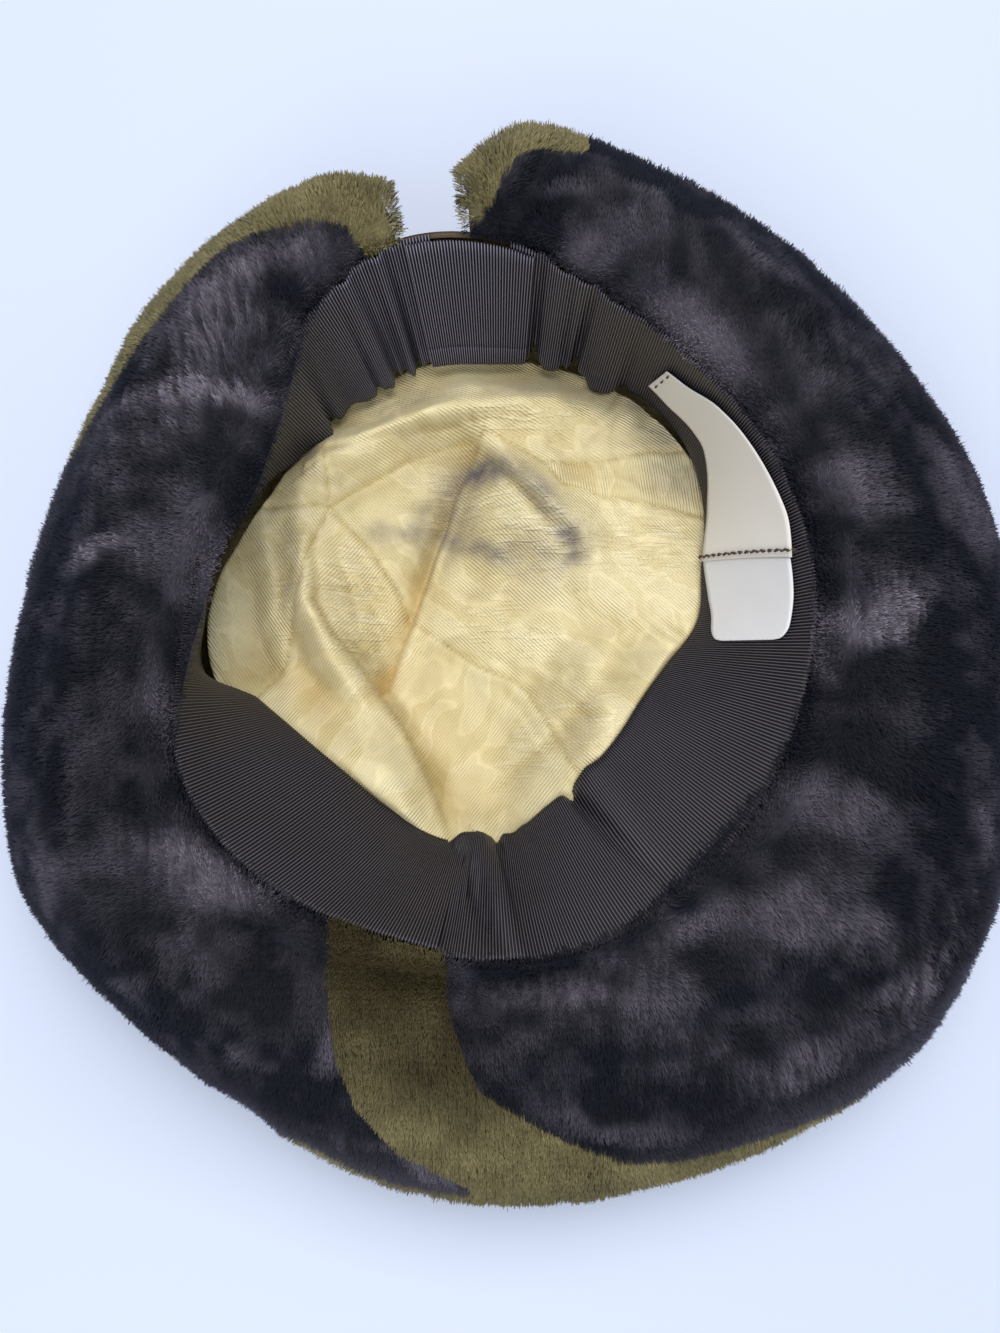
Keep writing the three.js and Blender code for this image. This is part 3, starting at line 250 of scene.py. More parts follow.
# Small crumples that stand up from the cloth in long thin ridges. grain: the way that they run; pitch: from
# one to the next; rise: their height. The other columns are as above.
CRUMPLES = table("x y long short turn strength grain pitch rise", [
    (8, 22, 21, 11, -18, 1, 8, 2.9, 0.75), (0, 4, 20, 9, -25, 1, -24, 3.2, 0.7),
    (-34, 8, 15, 10, -60, 1, -62, 2.8, 0.75), (14, -26, 16, 14, -50, 1, -52, 3.6, 0.8),
    (43, 70, 14, 12, 0, 1, 62, 3.6, 0.7), (12, 60, 20, 12, -45, 1, -42, 3.6, 0.8),
    (50, 33, 20, 14, -20, 1, -18, 4, 0.6), (-70, 16, 24, 12, 90, 1, -82, 4, 0.5),
    (44, -6, 18, 16, -50, 1, -40, 4.2, 0.6), (-30, 62, 18, 9, 10, 1, 14, 3.6, 0.6),
    (-30, -46, 22, 12, -55, 1, -58, 4.4, 0.5),
])
# Warm ochre tone in the valley, as above
WARM_SPOTS = table("x y long short turn strength", [
    (-34, -17, 8, 4, 60, 0.4), (-30, 2, 12, 4, 75, 0.12), (-56, -20, 10, 5, -50, 0.12),
    (-24, 12, 9, 4, 70, 0.1), (-60, -22, 14, 5, -55, 0.15), (-14, -38, 22, 10, -60, 0.1),
])

# Plan outlines of the olive rim that shows at the brim's left and right ends and along its front left edge
OLIVE_RIMS = [
    [
        (-126, 48), (-111, 63), (-97, 78), (-85, 91), (-75, 99), (-58, 103), (-51, 105), (-41, 104),
        (-39, 102), (-36, 97), (-30, 88), (-20, 88), (-20, 170), (-170, 170), (-170, 45),
    ],
    [
        (-12, 103), (-5, 109), (-1, 111), (2, 118), (6, 123), (13, 128), (19, 129), (27, 132),
        (27, 170), (-24, 170), (-24, 90), (-12, 90),
    ],
    [(-56, -152), (-40, -161), (-22, -166), (-4, -168), (-4, -195), (-70, -195), (-70, -152)],
]
# Plan outline of the olive plush that crosses the under side
OLIVE_OUTLINE = [
    (-48, -60), (-44, -85), (-44, -100), (-42, -123), (-38, -137), (-27, -152), (-8, -163), (-4, -195),
    (150, -170), (128, -128), (111, -137), (93, -145), (76, -150), (53, -155), (36, -155), (20, -147),
    (6, -138), (-4, -130), (-8, -120), (-12, -107), (-13, -96), (-14, -60),
]
# Plan outline of the left piece of the dark plush
LEFT_HALF = [
    (-60, 0), (-30, -40), (-28, -110), (-12, -145), (10, -165), (20, -240), (-240, -240), (-240, 240),
    (-18, 240), (-18, 60),
]
# Mauve-grey patches of the dark plush in plan: middle, half sizes, turn of the long side, strength
PATCHES = table("x y long short turn strength", [
    (-81, 53, 20, 4, 5, 0.95), (-69, 90, 25, 6, 22, 0.55), (-79, 67, 16, 7, 60, 0.4),
    (-140, 47, 4, 14, 0, 0.5), (-105, 13, 9, 5, 10, 0.9), (-81, 20, 8, 16, -30, 0.3),
    (-74, 5, 10, 9, 0, 0.42), (-85, -32, 5, 11, 0, 0.28), (-76, -71, 19, 8, -25, 0.9),
    (-52, -77, 9, 5, -20, 0.7), (-45, -119, 6, 7, 0, 0.7), (-123, -75, 7, 17, -15, 0.35),
    (-97, -105, 6, 4, 0, 0.4), (-66, -124, 5, 4, 0, 0.3), (-22, -156, 15, 4, -18, 0.5),
    (14, -100, 16, 4, -3, 0.5), (52, -86, 15, 5, 19, 0.5), (76, -82, 13, 6, -8, 0.5),
    (95, -89, 10, 6, -32, 0.4), (87, -52, 13, 8, -20, 0.55), (114, -103, 18, 10, 40, 0.5),
    (81, -128, 17, 7, 20, 0.42), (33, -143, 19, 5, -5, 0.42), (133, -65, 4, 8, 0, 0.4),
    (96, -89, 8, 5, 20, 0.35), (58, 72, 17, 8, -48, 0.75), (98, 32, 11, 7, -15, 0.6),
    (105, -1, 17, 7, 28, 0.9), (25, 100, 7, 6, 0, 0.5), (130, 32, 11, 18, 25, 0.42),
    (88, -14, 4, 11, 15, 0.5), (36, 117, 11, 4, -30, 0.3), (-7, -103, 8, 5, -10, 0.3),
    (40, -104, 11, 8, 20, 0.25), (18, 113, 5, 4, 0, 0.25), (73, 98, 13, 4, -38, 0.3),
    (-98, -12, 13, 8, 30, 0.12), (-95, 60, 40, 34, 40, 0.1),
])
# Where the nap shows its short marks most, as above
NAP = table("x y long short turn strength", [
    (-80, 60, 34, 16, 35, 1), (-60, 84, 20, 12, 40, 0.6), (106, -2, 12, 26, 10, 1),
    (118, -98, 22, 14, 50, 1), (-100, 12, 10, 14, 0, 0.6), (-84, -66, 26, 12, -35, 0.6),
    (30, -96, 30, 8, 8, 0.6), (86, 74, 24, 10, -42, 0.7), (60, -130, 34, 10, 10, 0.5),
])

# Labels as places on the ribbon: angle and share of its width at the seam side, then at the free side
SATIN_LABEL = table("seam_at seam_share free_at free_share", [
    (54.8, 0.3, 57.2, 0.67), (49, 0.26, 51, 0.72), (43, 0.13, 44.5, 0.66), (37, 0.09, 39.5, 0.64),
    (30, 0.08, 34.5, 0.75), (23, 0.07, 29.5, 0.87), (16, 0.06, 22.5, 0.94), (8, 0.12, 15.5, 0.96),
])
CARE_LABEL = table("seam_at seam_share free_at free_share", [
    (9, 0.14, 16.5, 0.95), (1, 0.15, 5, 0.9), (-7.5, 0.18, -7.5, 0.77),
])

# Unevenness of cloth and pile, as lumps of several sizes on top of one another
SOFT_LUMPS = table("rise size seed", [(0.9, 17, 11), (0.35, 8, 12)])
SHARP_LUMPS = table("rise size seed", [(1.1, 14, 40), (0.5, 6.5, 41)])
PATCH_LUMPS = table("rise size seed", [(0.17, 15, 21), (0.14, 5, 22)])
SWIRLS = table("rise size seed", [(0.7, 24, 31), (0.4, 10, 32)])

# The ribbon and its lap at the back
RIBBON_WIDTH, CLOTH_THICK = 46, 1.8
LAP_FROM, LAP_TO, END_UNDER_LAP = 83.5, 104, 4
RIB_PITCH, RIB_HEIGHT, RIB_SCALLOP = 0.8, 0.4, 0.45
BAND_STEPS, LAP_STEPS = 4, 6
END_LIFT, END_SLOPE, END_FADES_AT = 1.8, 0.25, 235
CASING_FROM, CASING_TO, CASING_LINE = 62, 126, 0.84
LAP_LIFT, LAP_LINE, LAP_COLUMN, LAP_COLUMN_END = 2.0, 0.85, 101.2, 0.84
# The labels: how far they stand off the ribbon, and the size that the rounding of the corners is taken from
SATIN_LIFT, CARE_LIFT, LABEL_LONG, LABEL_WIDE = 1.7, 1.25, 25, 30
# The brim
BRIM_THICK, EDGE_PILE = 16, 4
BRIM_OUT, BRIM_UNDER = 6.5, 6
LIP_IN, LIP_OVER, LIP_SHARE = 1.4, 0.4, 0.06
END_ROUNDING, END_SHARE = 6, 0.35
FLOP_SHARE, FLOP_RISE = 0.3, 0.4
NEAR_ROUNDING, NEAR_START, EDGE_ROUNDING = 0.12, 0.55, 0.16
SHELL_UNDER, SHELL_OVER = 1.5, 1.8
TIP_REACH, END_BARE, FLOOR_GAP = 2, 0.6, 0.3
WIDEST_RIM, LEAST_RIM = 12, 0.5
LIP_PILE, LIP_BACKING = 0.16, 0.15
# The crown
NEAR_SHARE, MID_SHARE, TIP_MIDDLE = 0.38, 0.7, 31
RIBBON_CLEAR, STEEPEST = 3.4, 1.6
CROWN_CLEAR, WALL_LEAN, RING_FOOT, TIP_RISE_TO = 1.5, 0.055, 4, 13
RING_STEPS, RING_LIFTS_AT, RING_BULGE, WALL_RIPPLE = (TIP_RISE_TO, 10, 7, 4, -1, -4), -2, 4, 0.8
TIP_PANELS_TO = 60
SPOT_COLUMNS, SPOT_EDGE = ("x", "y", "long", "short", "turn", "strength"), 1.3
SEAM_GROOVE, SEAM_GROOVE_HALF = 0.45, 0.6
SEAM_WELT, SEAM_WELT_AT, SEAM_WELT_HALF = 0.3, 2, 1.2
SEAM_PUCKER, SEAM_PUCKER_SIZE, SEAM_PUCKER_REACH = 0.3, 2.6, 4
SEAM_SHADE, SEAM_SHADE_HALF = 0.5, 0.4
# How deep the cloth has to lie below its surroundings at two distances to take the full painted shade of a fold
HOLLOW_REACH = table("reach depth", [(2.2, 1.2), (6, 4)])

# Cut sizes in metres
SATIN_FLAT, CARE_FLAT = (0.026, 0.064), (0.025, 0.024)
# The lamps in metres, and the camera in millimetres and degrees, which looks down at 84 degrees
LAMP_AT, LAMP_WIDE = (0.12, 0.6, 1.6), 1.1
FILL_AT, FILL_WIDE = (-0.25, -0.8, 1.2), 0.9
FLOOR_HALF = 2.5
CAMERA_AT, CAMERA_TO, CAMERA_VIEW = (-3.11, -42.6, 423.14), (-3.11, -7.06, 85), 55.08
SENSOR_HEIGHT = 24
# Colours of the light, and of the gleam that lies on the dark and on the olive plush
LAMP_TONE, SKY_TONE = "#fff8f0", "#e2ecfb"
COOL_GLEAM, WARM_GLEAM = "#a4b2dc", "#d8d6b4"

# Shape functions, on arrays


def column(rows, name, angle, closed=True):
    """A column of a table at any angles, by a cubic through its rows."""
    at, value = rows["at"], rows[name]
    angle = np.asarray(angle, float)
    if closed:
        at = np.concatenate([at - 360, at, at + 360])
        value = np.tile(value, 3)
        angle = rows["at"][0] + (angle - rows["at"][0]) % 360
    else:
        angle = np.clip(angle, at[0], at[-1])
    i = np.clip(np.searchsorted(at, angle, side="right") - 1, 0, len(at) - 2)
    before, after = np.maximum(i - 1, 0), np.minimum(i + 2, len(at) - 1)
    span = at[i + 1] - at[i]
    t = (angle - at[i]) / span
    slope_a = np.where(before == i, 0, (value[i + 1] - value[before]) / (at[i + 1] - at[before]) * span)
    slope_b = np.where(after == i + 1, 0, (value[after] - value[i]) / (at[after] - at[i]) * span)
    t2, t3 = t * t, t * t * t
    return ((2 * t3 - 3 * t2 + 1) * value[i] + (t3 - 2 * t2 + t) * slope_a
            + (3 * t2 - 2 * t3) * value[i + 1] + (t3 - t2) * slope_b)


def smoothstep(t):
    t = np.clip(t, 0, 1)
    return t * t * (3 - 2 * t)


def polar(angle, radius, height):
    """Points from polar values about the middle of the head opening."""
    a = np.radians(angle)
    return np.stack(np.broadcast_arrays(radius * np.cos(a), radius * np.sin(a), height), -1)


def around_folds(rows, angle, rise):
    off = (((np.asarray(angle)[..., None] - rows["at"]) % 360 + 540) % 360 - 180) / rows["wide"]
    return (rise * np.exp(-off * off)).sum(-1)


def ribbon_point(angle, share, lift):
    """Head side of the ribbon: share 0 is the head seam and 1 the free edge."""
    angle, share, lift = np.broadcast_arrays(np.asarray(angle, float), share, lift)
    seam, free = column(HEAD, "seam", angle), column(HEAD, "free", angle)
    inward = seam - free
    drop = np.sqrt(RIBBON_WIDTH ** 2 - inward ** 2)
    rises = RIBBON_FOLDS["seam_rise"] + (RIBBON_FOLDS["rise"] - RIBBON_FOLDS["seam_rise"]) * share[..., None]
    stand = around_folds(RIBBON_FOLDS, angle, rises) + lift
    radius = seam - inward * share - stand * drop / RIBBON_WIDTH
    height = column(HEAD, "top", angle) - drop * share + stand * inward / RIBBON_WIDTH
    return polar(angle, radius, height)


def path_near(path, x, y):
    """Distance from places in plan to a path, which side of it they are on, and the third value along it."""
    path = np.array(path, float)
    best = np.full(np.shape(x), np.inf)
    side, value = np.zeros(np.shape(x)), np.zeros(np.shape(x))
    for a, b in zip(path[:-1], path[1:]):
        d = b[:2] - a[:2]
        t = np.clip(((x - a[0]) * d[0] + (y - a[1]) * d[1]) / (d @ d), 0, 1)
        ox, oy = x - a[0] - t * d[0], y - a[1] - t * d[1]
        off = np.hypot(ox, oy)
        nearer = off < best
        best = np.where(nearer, off, best)
        side = np.where(nearer, np.sign(d[0] * oy - d[1] * ox), side)
        if path.shape[1] > 2:
            value = np.where(nearer, a[2] + (b[2] - a[2]) * t, value)
    return best, side, value


def fold_height(folds, x, y):
    total = np.zeros(np.shape(x))
    for left, right, path in folds:
        off, side, rise = path_near(path, x, y)
        off = off / np.where(side > 0, left, right)
        total += rise * np.exp(-off * off)
    return total


def inside(outline, x, y):
    """Whether places in plan lie inside an outline."""
    found = np.zeros(np.shape(x), bool)
    for (ax, ay), (bx, by) in zip(outline, outline[1:] + outline[:1]):
        crosses = (ay > y) != (by > y)
        with np.errstate(divide="ignore", invalid="ignore"):
            found ^= crosses & (x < ax + (y - ay) / (by - ay) * (bx - ax))
    return found


def free_height(angle):
    inward = column(HEAD, "seam", angle) - column(HEAD, "free", angle)
    return column(HEAD, "top", angle) - np.sqrt(RIBBON_WIDTH ** 2 - inward ** 2)


def tip_height(x, y):
    """Height of the crushed tip's head side in plan, kept under the ribbon."""
    radius, angle = np.hypot(x, y), np.degrees(np.arctan2(y, x))
    free, edge = column(HEAD, "free", angle), free_height(angle)
    zero = np.zeros_like(free)
    knots = np.stack([zero, NEAR_SHARE * free, MID_SHARE * free, free])
    heights = np.stack([zero + TIP_MIDDLE, column(CROWN, "near", angle), column(CROWN, "mid", angle),
                        edge - column(CROWN, "under", angle)])
    height = heights[0]
    for i in range(3):
        share = smoothstep((radius - knots[i]) / (knots[i + 1] - knots[i]))
        height = height + (heights[i + 1] - heights[i]) * share
    limit = edge - RIBBON_CLEAR + STEEPEST * np.maximum(0, free - radius)
    return np.minimum(height + fold_height(CROWN_FOLDS, x, y), limit)


def brim_point(angle, t, side):
    """A place in the brim: side 1 is the under side that faces up, -1 the upper side that faces down."""
    angle, t, side = np.broadcast_arrays(np.asarray(angle, float), np.asarray(t, float), side)
    seam, top = column(HEAD, "seam", angle), column(HEAD, "top", angle)
    edge, low = column(BRIM, "edge", angle, False) - EDGE_PILE, column(BRIM, "low", angle, False)
    start = np.stack([seam + BRIM_OUT, top - BRIM_UNDER], -1)
    crest = np.stack([start[..., 0] + column(BRIM, "crest_at", angle, False),
                      top + column(BRIM, "crest", angle, False) - BRIM_THICK / 2], -1)
    end = np.stack([edge, low], -1)
    middle = (crest + end) / 2
    middle[..., 1] -= column(BRIM, "sag", angle, False)

    def spine(t):
        return through(start, crest, middle, end, t)

    point = spine(t)
    along = spine(np.minimum(t + 1e-3, 1)) - spine(np.maximum(t - 1e-3, 0))
    along /= np.linalg.norm(along, axis=-1, keepdims=True)
    flat = polar(angle, point[..., 0], 0)
    folds = np.where(side > 0, fold_height(BRIM_FOLDS, flat[..., 0], flat[..., 1]), 0)
    off = brim_half(angle, t) * side * (1 + folds * 2 / BRIM_THICK)
    radius, height = point[..., 0] - along[..., 1] * off, point[..., 1] + along[..., 0] * off
    lip = smoothstep(t / LIP_SHARE)
    up = side > 0
    radius = np.where(up, (seam + LIP_IN) * (1 - lip) + radius * lip, radius)
    height = np.where(up, (top + LIP_OVER) * (1 - lip) + height * lip, height)
    flop = around_folds(OVERHANG, angle, OVERHANG["rise"]) * (1 - smoothstep(t / FLOP_SHARE))
    radius = np.where(up, radius - flop, radius)
    height = np.where(up, height + FLOP_RISE * flop, height)
    return polar(angle, radius, np.maximum(height, 1))


def through(p0, p1, p2, p3, t):
    """A centripetal curve through four points of a section, a third of t for each stretch."""
    points = [2 * p0 - p1, p0, p1, p2, p3, 2 * p3 - p2]
    out = np.zeros_like(p0)
    for i in range(3):
        a, b, c, d = points[i:i + 4]
        pairs = ((a, b), (b, c), (c, d))
        da, db, dc = [np.sqrt(np.linalg.norm(q - p, axis=-1, keepdims=True)) for p, q in pairs]
        m1 = ((b - a) / da - (c - a) / (da + db) + (c - b) / db) * db
        m2 = ((c - b) / db - (d - b) / (db + dc) + (d - c) / dc) * db
        inside_part = (t >= i / 3) & (t <= (i + 1) / 3)
        s = np.clip(t * 3 - i, 0, 1)[..., None]
        curve = b + m1 * s + (-3 * b + 3 * c - 2 * m1 - m2) * s ** 2 + (2 * b - 2 * c + m1 + m2) * s ** 3
        out = np.where(inside_part[..., None], curve, out)
    return out


def brim_half(angle, t):
    """Half the thickness of the brim, rounded off at the head seam, at the outer edge and at both ends."""
    near = np.sqrt(np.clip(t / NEAR_ROUNDING, 0, 1)) * (1 - NEAR_START) + NEAR_START
    far = np.sqrt(np.clip((1 - t) / EDGE_ROUNDING, 0, 1))
    end = np.minimum(angle - BRIM["at"][0], BRIM["at"][-1] - angle)
    taper = END_SHARE + (1 - END_SHARE) * np.sqrt(np.clip(end / END_ROUNDING, 0, 1))
    return BRIM_THICK / 2 * np.minimum(np.minimum(near, far), 1) * taper


def dark_end(angle):
    """The share of the way out at which the olive rim of the upper side begins."""
    length = column(BRIM, "edge", angle, False) - column(HEAD, "seam", angle)
    return 1 - np.clip(column(BRIM, "olive", angle, False), 0, WIDEST_RIM) / length


def lumps(x, y, size, seed):
    """Smooth random values from -1 to 1 over a plan, with lumps of about a size in millimetres."""
    values = np.random.default_rng(int(seed)).uniform(-1, 1, (64, 64))
    gx, gy = x / size, y / size
    ix, iy = np.floor(gx).astype(int), np.floor(gy).astype(int)
    fx, fy = smoothstep(gx - ix), smoothstep(gy - iy)
    low, high = (values[ix % 64, j % 64] * (1 - fx) + values[(ix + 1) % 64, j % 64] * fx for j in (iy, iy + 1))
    return low * (1 - fy) + high * fy


def uneven(rows, x, y, shape=np.positive):
    """Lumps of several sizes on top of one another. shape is np.abs for sharp valleys between them."""
    return sum(rise * shape(lumps(x, y, size, seed)) for rise, size, seed in zip(*rows.values()))


def unit(vectors):
    return vectors / np.maximum(np.linalg.norm(vectors, axis=-1, keepdims=True), 1e-9)


def head_middle():
    """Where the middle of the head opening, which is zero in the tables, lies in the frame."""
    angles = np.linspace(LAP_TO - END_UNDER_LAP, LAP_FROM + END_UNDER_LAP + 360, 79)
    corner = np.min([ribbon_point(angles, share, lift).min(0) for share in (0, 1) for lift in (0, -1)], axis=0)
    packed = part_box("sweatband")[0]
    return np.array([packed.x / MM - corner[0], packed.y / MM - corner[1], 0])


HEAD_AT = head_middle()


# Mesh building


def grid(rows, cols, wrap_rows=False, wrap_cols=False):
    """Quads over a grid of points, with the corners of each in a unit chart."""
    last_row, last_col = rows - (not wrap_rows), cols - (not wrap_cols)
    i, j = np.meshgrid(np.arange(last_row), np.arange(last_col), indexing="ij")
    i2, j2 = (i + 1) % rows, (j + 1) % cols
    quads = np.stack([i * cols + j, i2 * cols + j, i2 * cols + j2, i * cols + j2], -1).reshape(-1, 4)
    x, y = i / max(i.max() + 1, 1), j / max(j.max() + 1, 1)
    x2, y2 = (i + 1) / (i.max() + 1), (j + 1) / (j.max() + 1)
    chart = np.stack([x, y, x2, y, x2, y2, x, y2], -1).reshape(-1, 4, 2)
    return quads, chart


def fan(ring, middle):
    """Triangles from a closed ring of points to a middle point."""
    return np.stack([ring, np.roll(ring, -1), np.full(len(ring), middle)], -1)


def to_triangles(faces):
    halved = [f if f.shape[1] == 3 else np.concatenate([f[:, :3], f[:, [0, 2, 3]]]) for f in faces]
    return np.concatenate(halved)


def enclosed(points, faces):
    """Six times the volume that a closed mesh holds, below zero if its faces point in."""
    a, b, c = [points[to_triangles(faces)[:, k]] for k in range(3)]
    return np.einsum("ij,ij->", a, np.cross(b, c))


def make_object(name, points, faces, charts, closed=True):
    """A mesh object from points in millimetres, lists of face arrays, and the chart corners of each."""
    if closed and enclosed(points, faces) < 0:
        faces, charts = [f[:, ::-1] for f in faces], [c[:, ::-1] for c in charts]
    mesh = bpy.data.meshes.new(name)
    mesh.vertices.add(len(points))
    mesh.vertices.foreach_set("co", ((points + HEAD_AT) * MM).astype(np.float32).ravel())
    corners = np.concatenate([f.ravel() for f in faces]).astype(np.int32)
    sizes = np.concatenate([np.full(len(f), f.shape[1]) for f in faces])
    mesh.loops.add(len(corners))
    mesh.loops.foreach_set("vertex_index", corners)
    mesh.polygons.add(len(sizes))
    mesh.polygons.foreach_set("loop_start", (np.cumsum(sizes) - sizes).astype(np.int32))
    mesh.polygons.foreach_set("use_smooth", np.ones(len(sizes), bool))
    mesh.update(calc_edges=True)
    add_chart(mesh, "OFBake", list(charts))
    made = bpy.data.objects.new(name, mesh)
    bpy.context.scene.collection.objects.link(made)
    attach(made, "root")
    return made


def add_chart(mesh, name, corners):
    """Adds a map of places for the corners of all faces, from one array or a list of them."""
    if isinstance(corners, list):
        corners = np.concatenate([c.reshape(-1, 2) for c in corners])
    mesh.uv_layers.new(name=name).uv.foreach_set("vector", corners.astype(np.float32).ravel())


def add_values(mesh, name, values):
    """Keeps a number or a colour for each point, which the materials read."""
    kind, key = ("FLOAT", "value") if values.ndim == 1 else ("FLOAT_COLOR", "color")
    mesh.attributes.new(name, kind, "POINT").data.foreach_set(key, values.astype(np.float32).ravel())


def loft(name, rings):
    """A closed body through rings of points, filled at its first and last ring. rings: (count, points, 3)."""
    count, size = rings.shape[:2]
    quads, chart = grid(count, size, wrap_cols=True)
    points = np.concatenate([rings.reshape(-1, 3), rings[[0, -1]].mean(1)])
    first = np.arange(size)
    ends = [fan(first, count * size), fan(first[::-1] + (count - 1) * size, count * size + 1)]
    # The body takes nearly the whole chart, and each end a small round place beside it
    round_chart = 0.005 + 0.004 * np.stack([np.cos(first), np.sin(first)], -1)
    end_chart = np.stack([round_chart, np.roll(round_chart, -1, 0), np.full((size, 2), 0.005)], 1)
    charts = [chart * [0.98, 1] + [0.02, 0], end_chart, end_chart + [0, 0.5]]
    return make_object(name, points, [quads, *ends], charts)


def surface_normals(points, faces):
    tris = to_triangles([faces])
    a, b, c = points[tris[:, 0]], points[tris[:, 1]], points[tris[:, 2]]
    normal = np.cross(b - a, c - a)
    total = np.zeros_like(points)
    for k in range(3):
        for axis in range(3):
            total[:, axis] += np.bincount(tris[:, k], normal[:, axis], len(points))
    return total / np.maximum(np.linalg.norm(total, axis=1, keepdims=True), 1e-9)


def rim_strip(rim, count):
    """Quads that join a closed rim of a cloth's face to its back, and their places along a unit chart."""
    strip = np.stack([rim, np.roll(rim, -1), np.roll(rim, -1) + count, rim + count], -1)
    k = np.arange(len(rim)) / len(rim)
    k2, zero, one = k + 1 / len(rim), np.zeros_like(k), np.ones_like(k)
    return strip, np.stack([k, zero, k2, zero, k2, one, k, one], -1).reshape(-1, 4, 2)


def stitches(name, starts, ends, ups, width):
    """Short thread stitches, each a slim body that stands half out of the cloth."""
    across = np.cross(ends - starts, ups)
    across *= width / 2 / np.linalg.norm(across, axis=-1, keepdims=True)
    ups = ups * width / 2 / np.linalg.norm(ups, axis=-1, keepdims=True)
    middle = (starts + ends) / 2 + ups
    points = np.stack([starts, ends, middle + across, middle + ups, middle - across, middle - ups], 1)
    ring = np.array([2, 3, 4, 5])
    pattern = np.concatenate([fan(ring, 0), fan(ring[::-1], 1)])
    faces = (pattern[None] + 6 * np.arange(len(starts))[:, None, None]).reshape(-1, 3)
    # Each stitch takes a column of the chart, and each of its eight faces a place in the column
    step = 1 / len(starts)
    cell = np.array([[0, 0.1], [1, 0.1], [0.5, 0.9]]) * [step * 0.9, 0.1]
    k = np.arange(len(faces))
    chart = cell[None] + np.stack([k // 8 * step, k % 8 * 0.12], -1)[:, None]
    return make_object(name, points.reshape(-1, 3), [faces], [chart])


# Materials


def linear(hex_colour):
    """An sRGB hex colour as a linear one."""
    parts = [int(hex_colour[i:i + 2], 16) / 255 for i in (1, 3, 5)]
    return tuple(p / 12.92 if p <= 0.04045 else ((p + 0.055) / 1.055) ** 2.4 for p in parts) + (1.0,)


def shaded(tone, share):
    """A darker shade of a colour."""
    return (*(part * share for part in tone[:3]), 1)


def node(tree, kind, inputs, out=0, stops=(), **settings):
    """Adds a node with its settings, colour stops and inputs, set or linked, and gives one of its outputs."""
    made = tree.nodes.new(kind)
    for name, value in settings.items():
        setattr(made, name, value)
    for i, (place, tone) in enumerate(stops):
        element = made.color_ramp.elements[i] if i < 2 else made.color_ramp.elements.new(place)
        element.position = place
        element.color = tone if np.ndim(tone) else (tone, tone, tone, 1)
    for name, value in inputs.items():
        if isinstance(value, bpy.types.NodeSocket):
            tree.links.new(value, made.inputs[name])
        else:
            made.inputs[name].default_value = value
    return made.outputs[out]


def new_material(name, finish):
    """A material with a Principled shader, whose plain values are set on its own sockets."""
    material = bpy.data.materials.new(name)
    material.use_nodes = True
    tree = material.node_tree
    tree.nodes.clear()
    surface = node(tree, "ShaderNodeBsdfPrincipled", finish)
    out = tree.nodes.new("ShaderNodeOutputMaterial")
    tree.links.new(surface, out.inputs["Surface"])
    return material, tree, surface.node.inputs


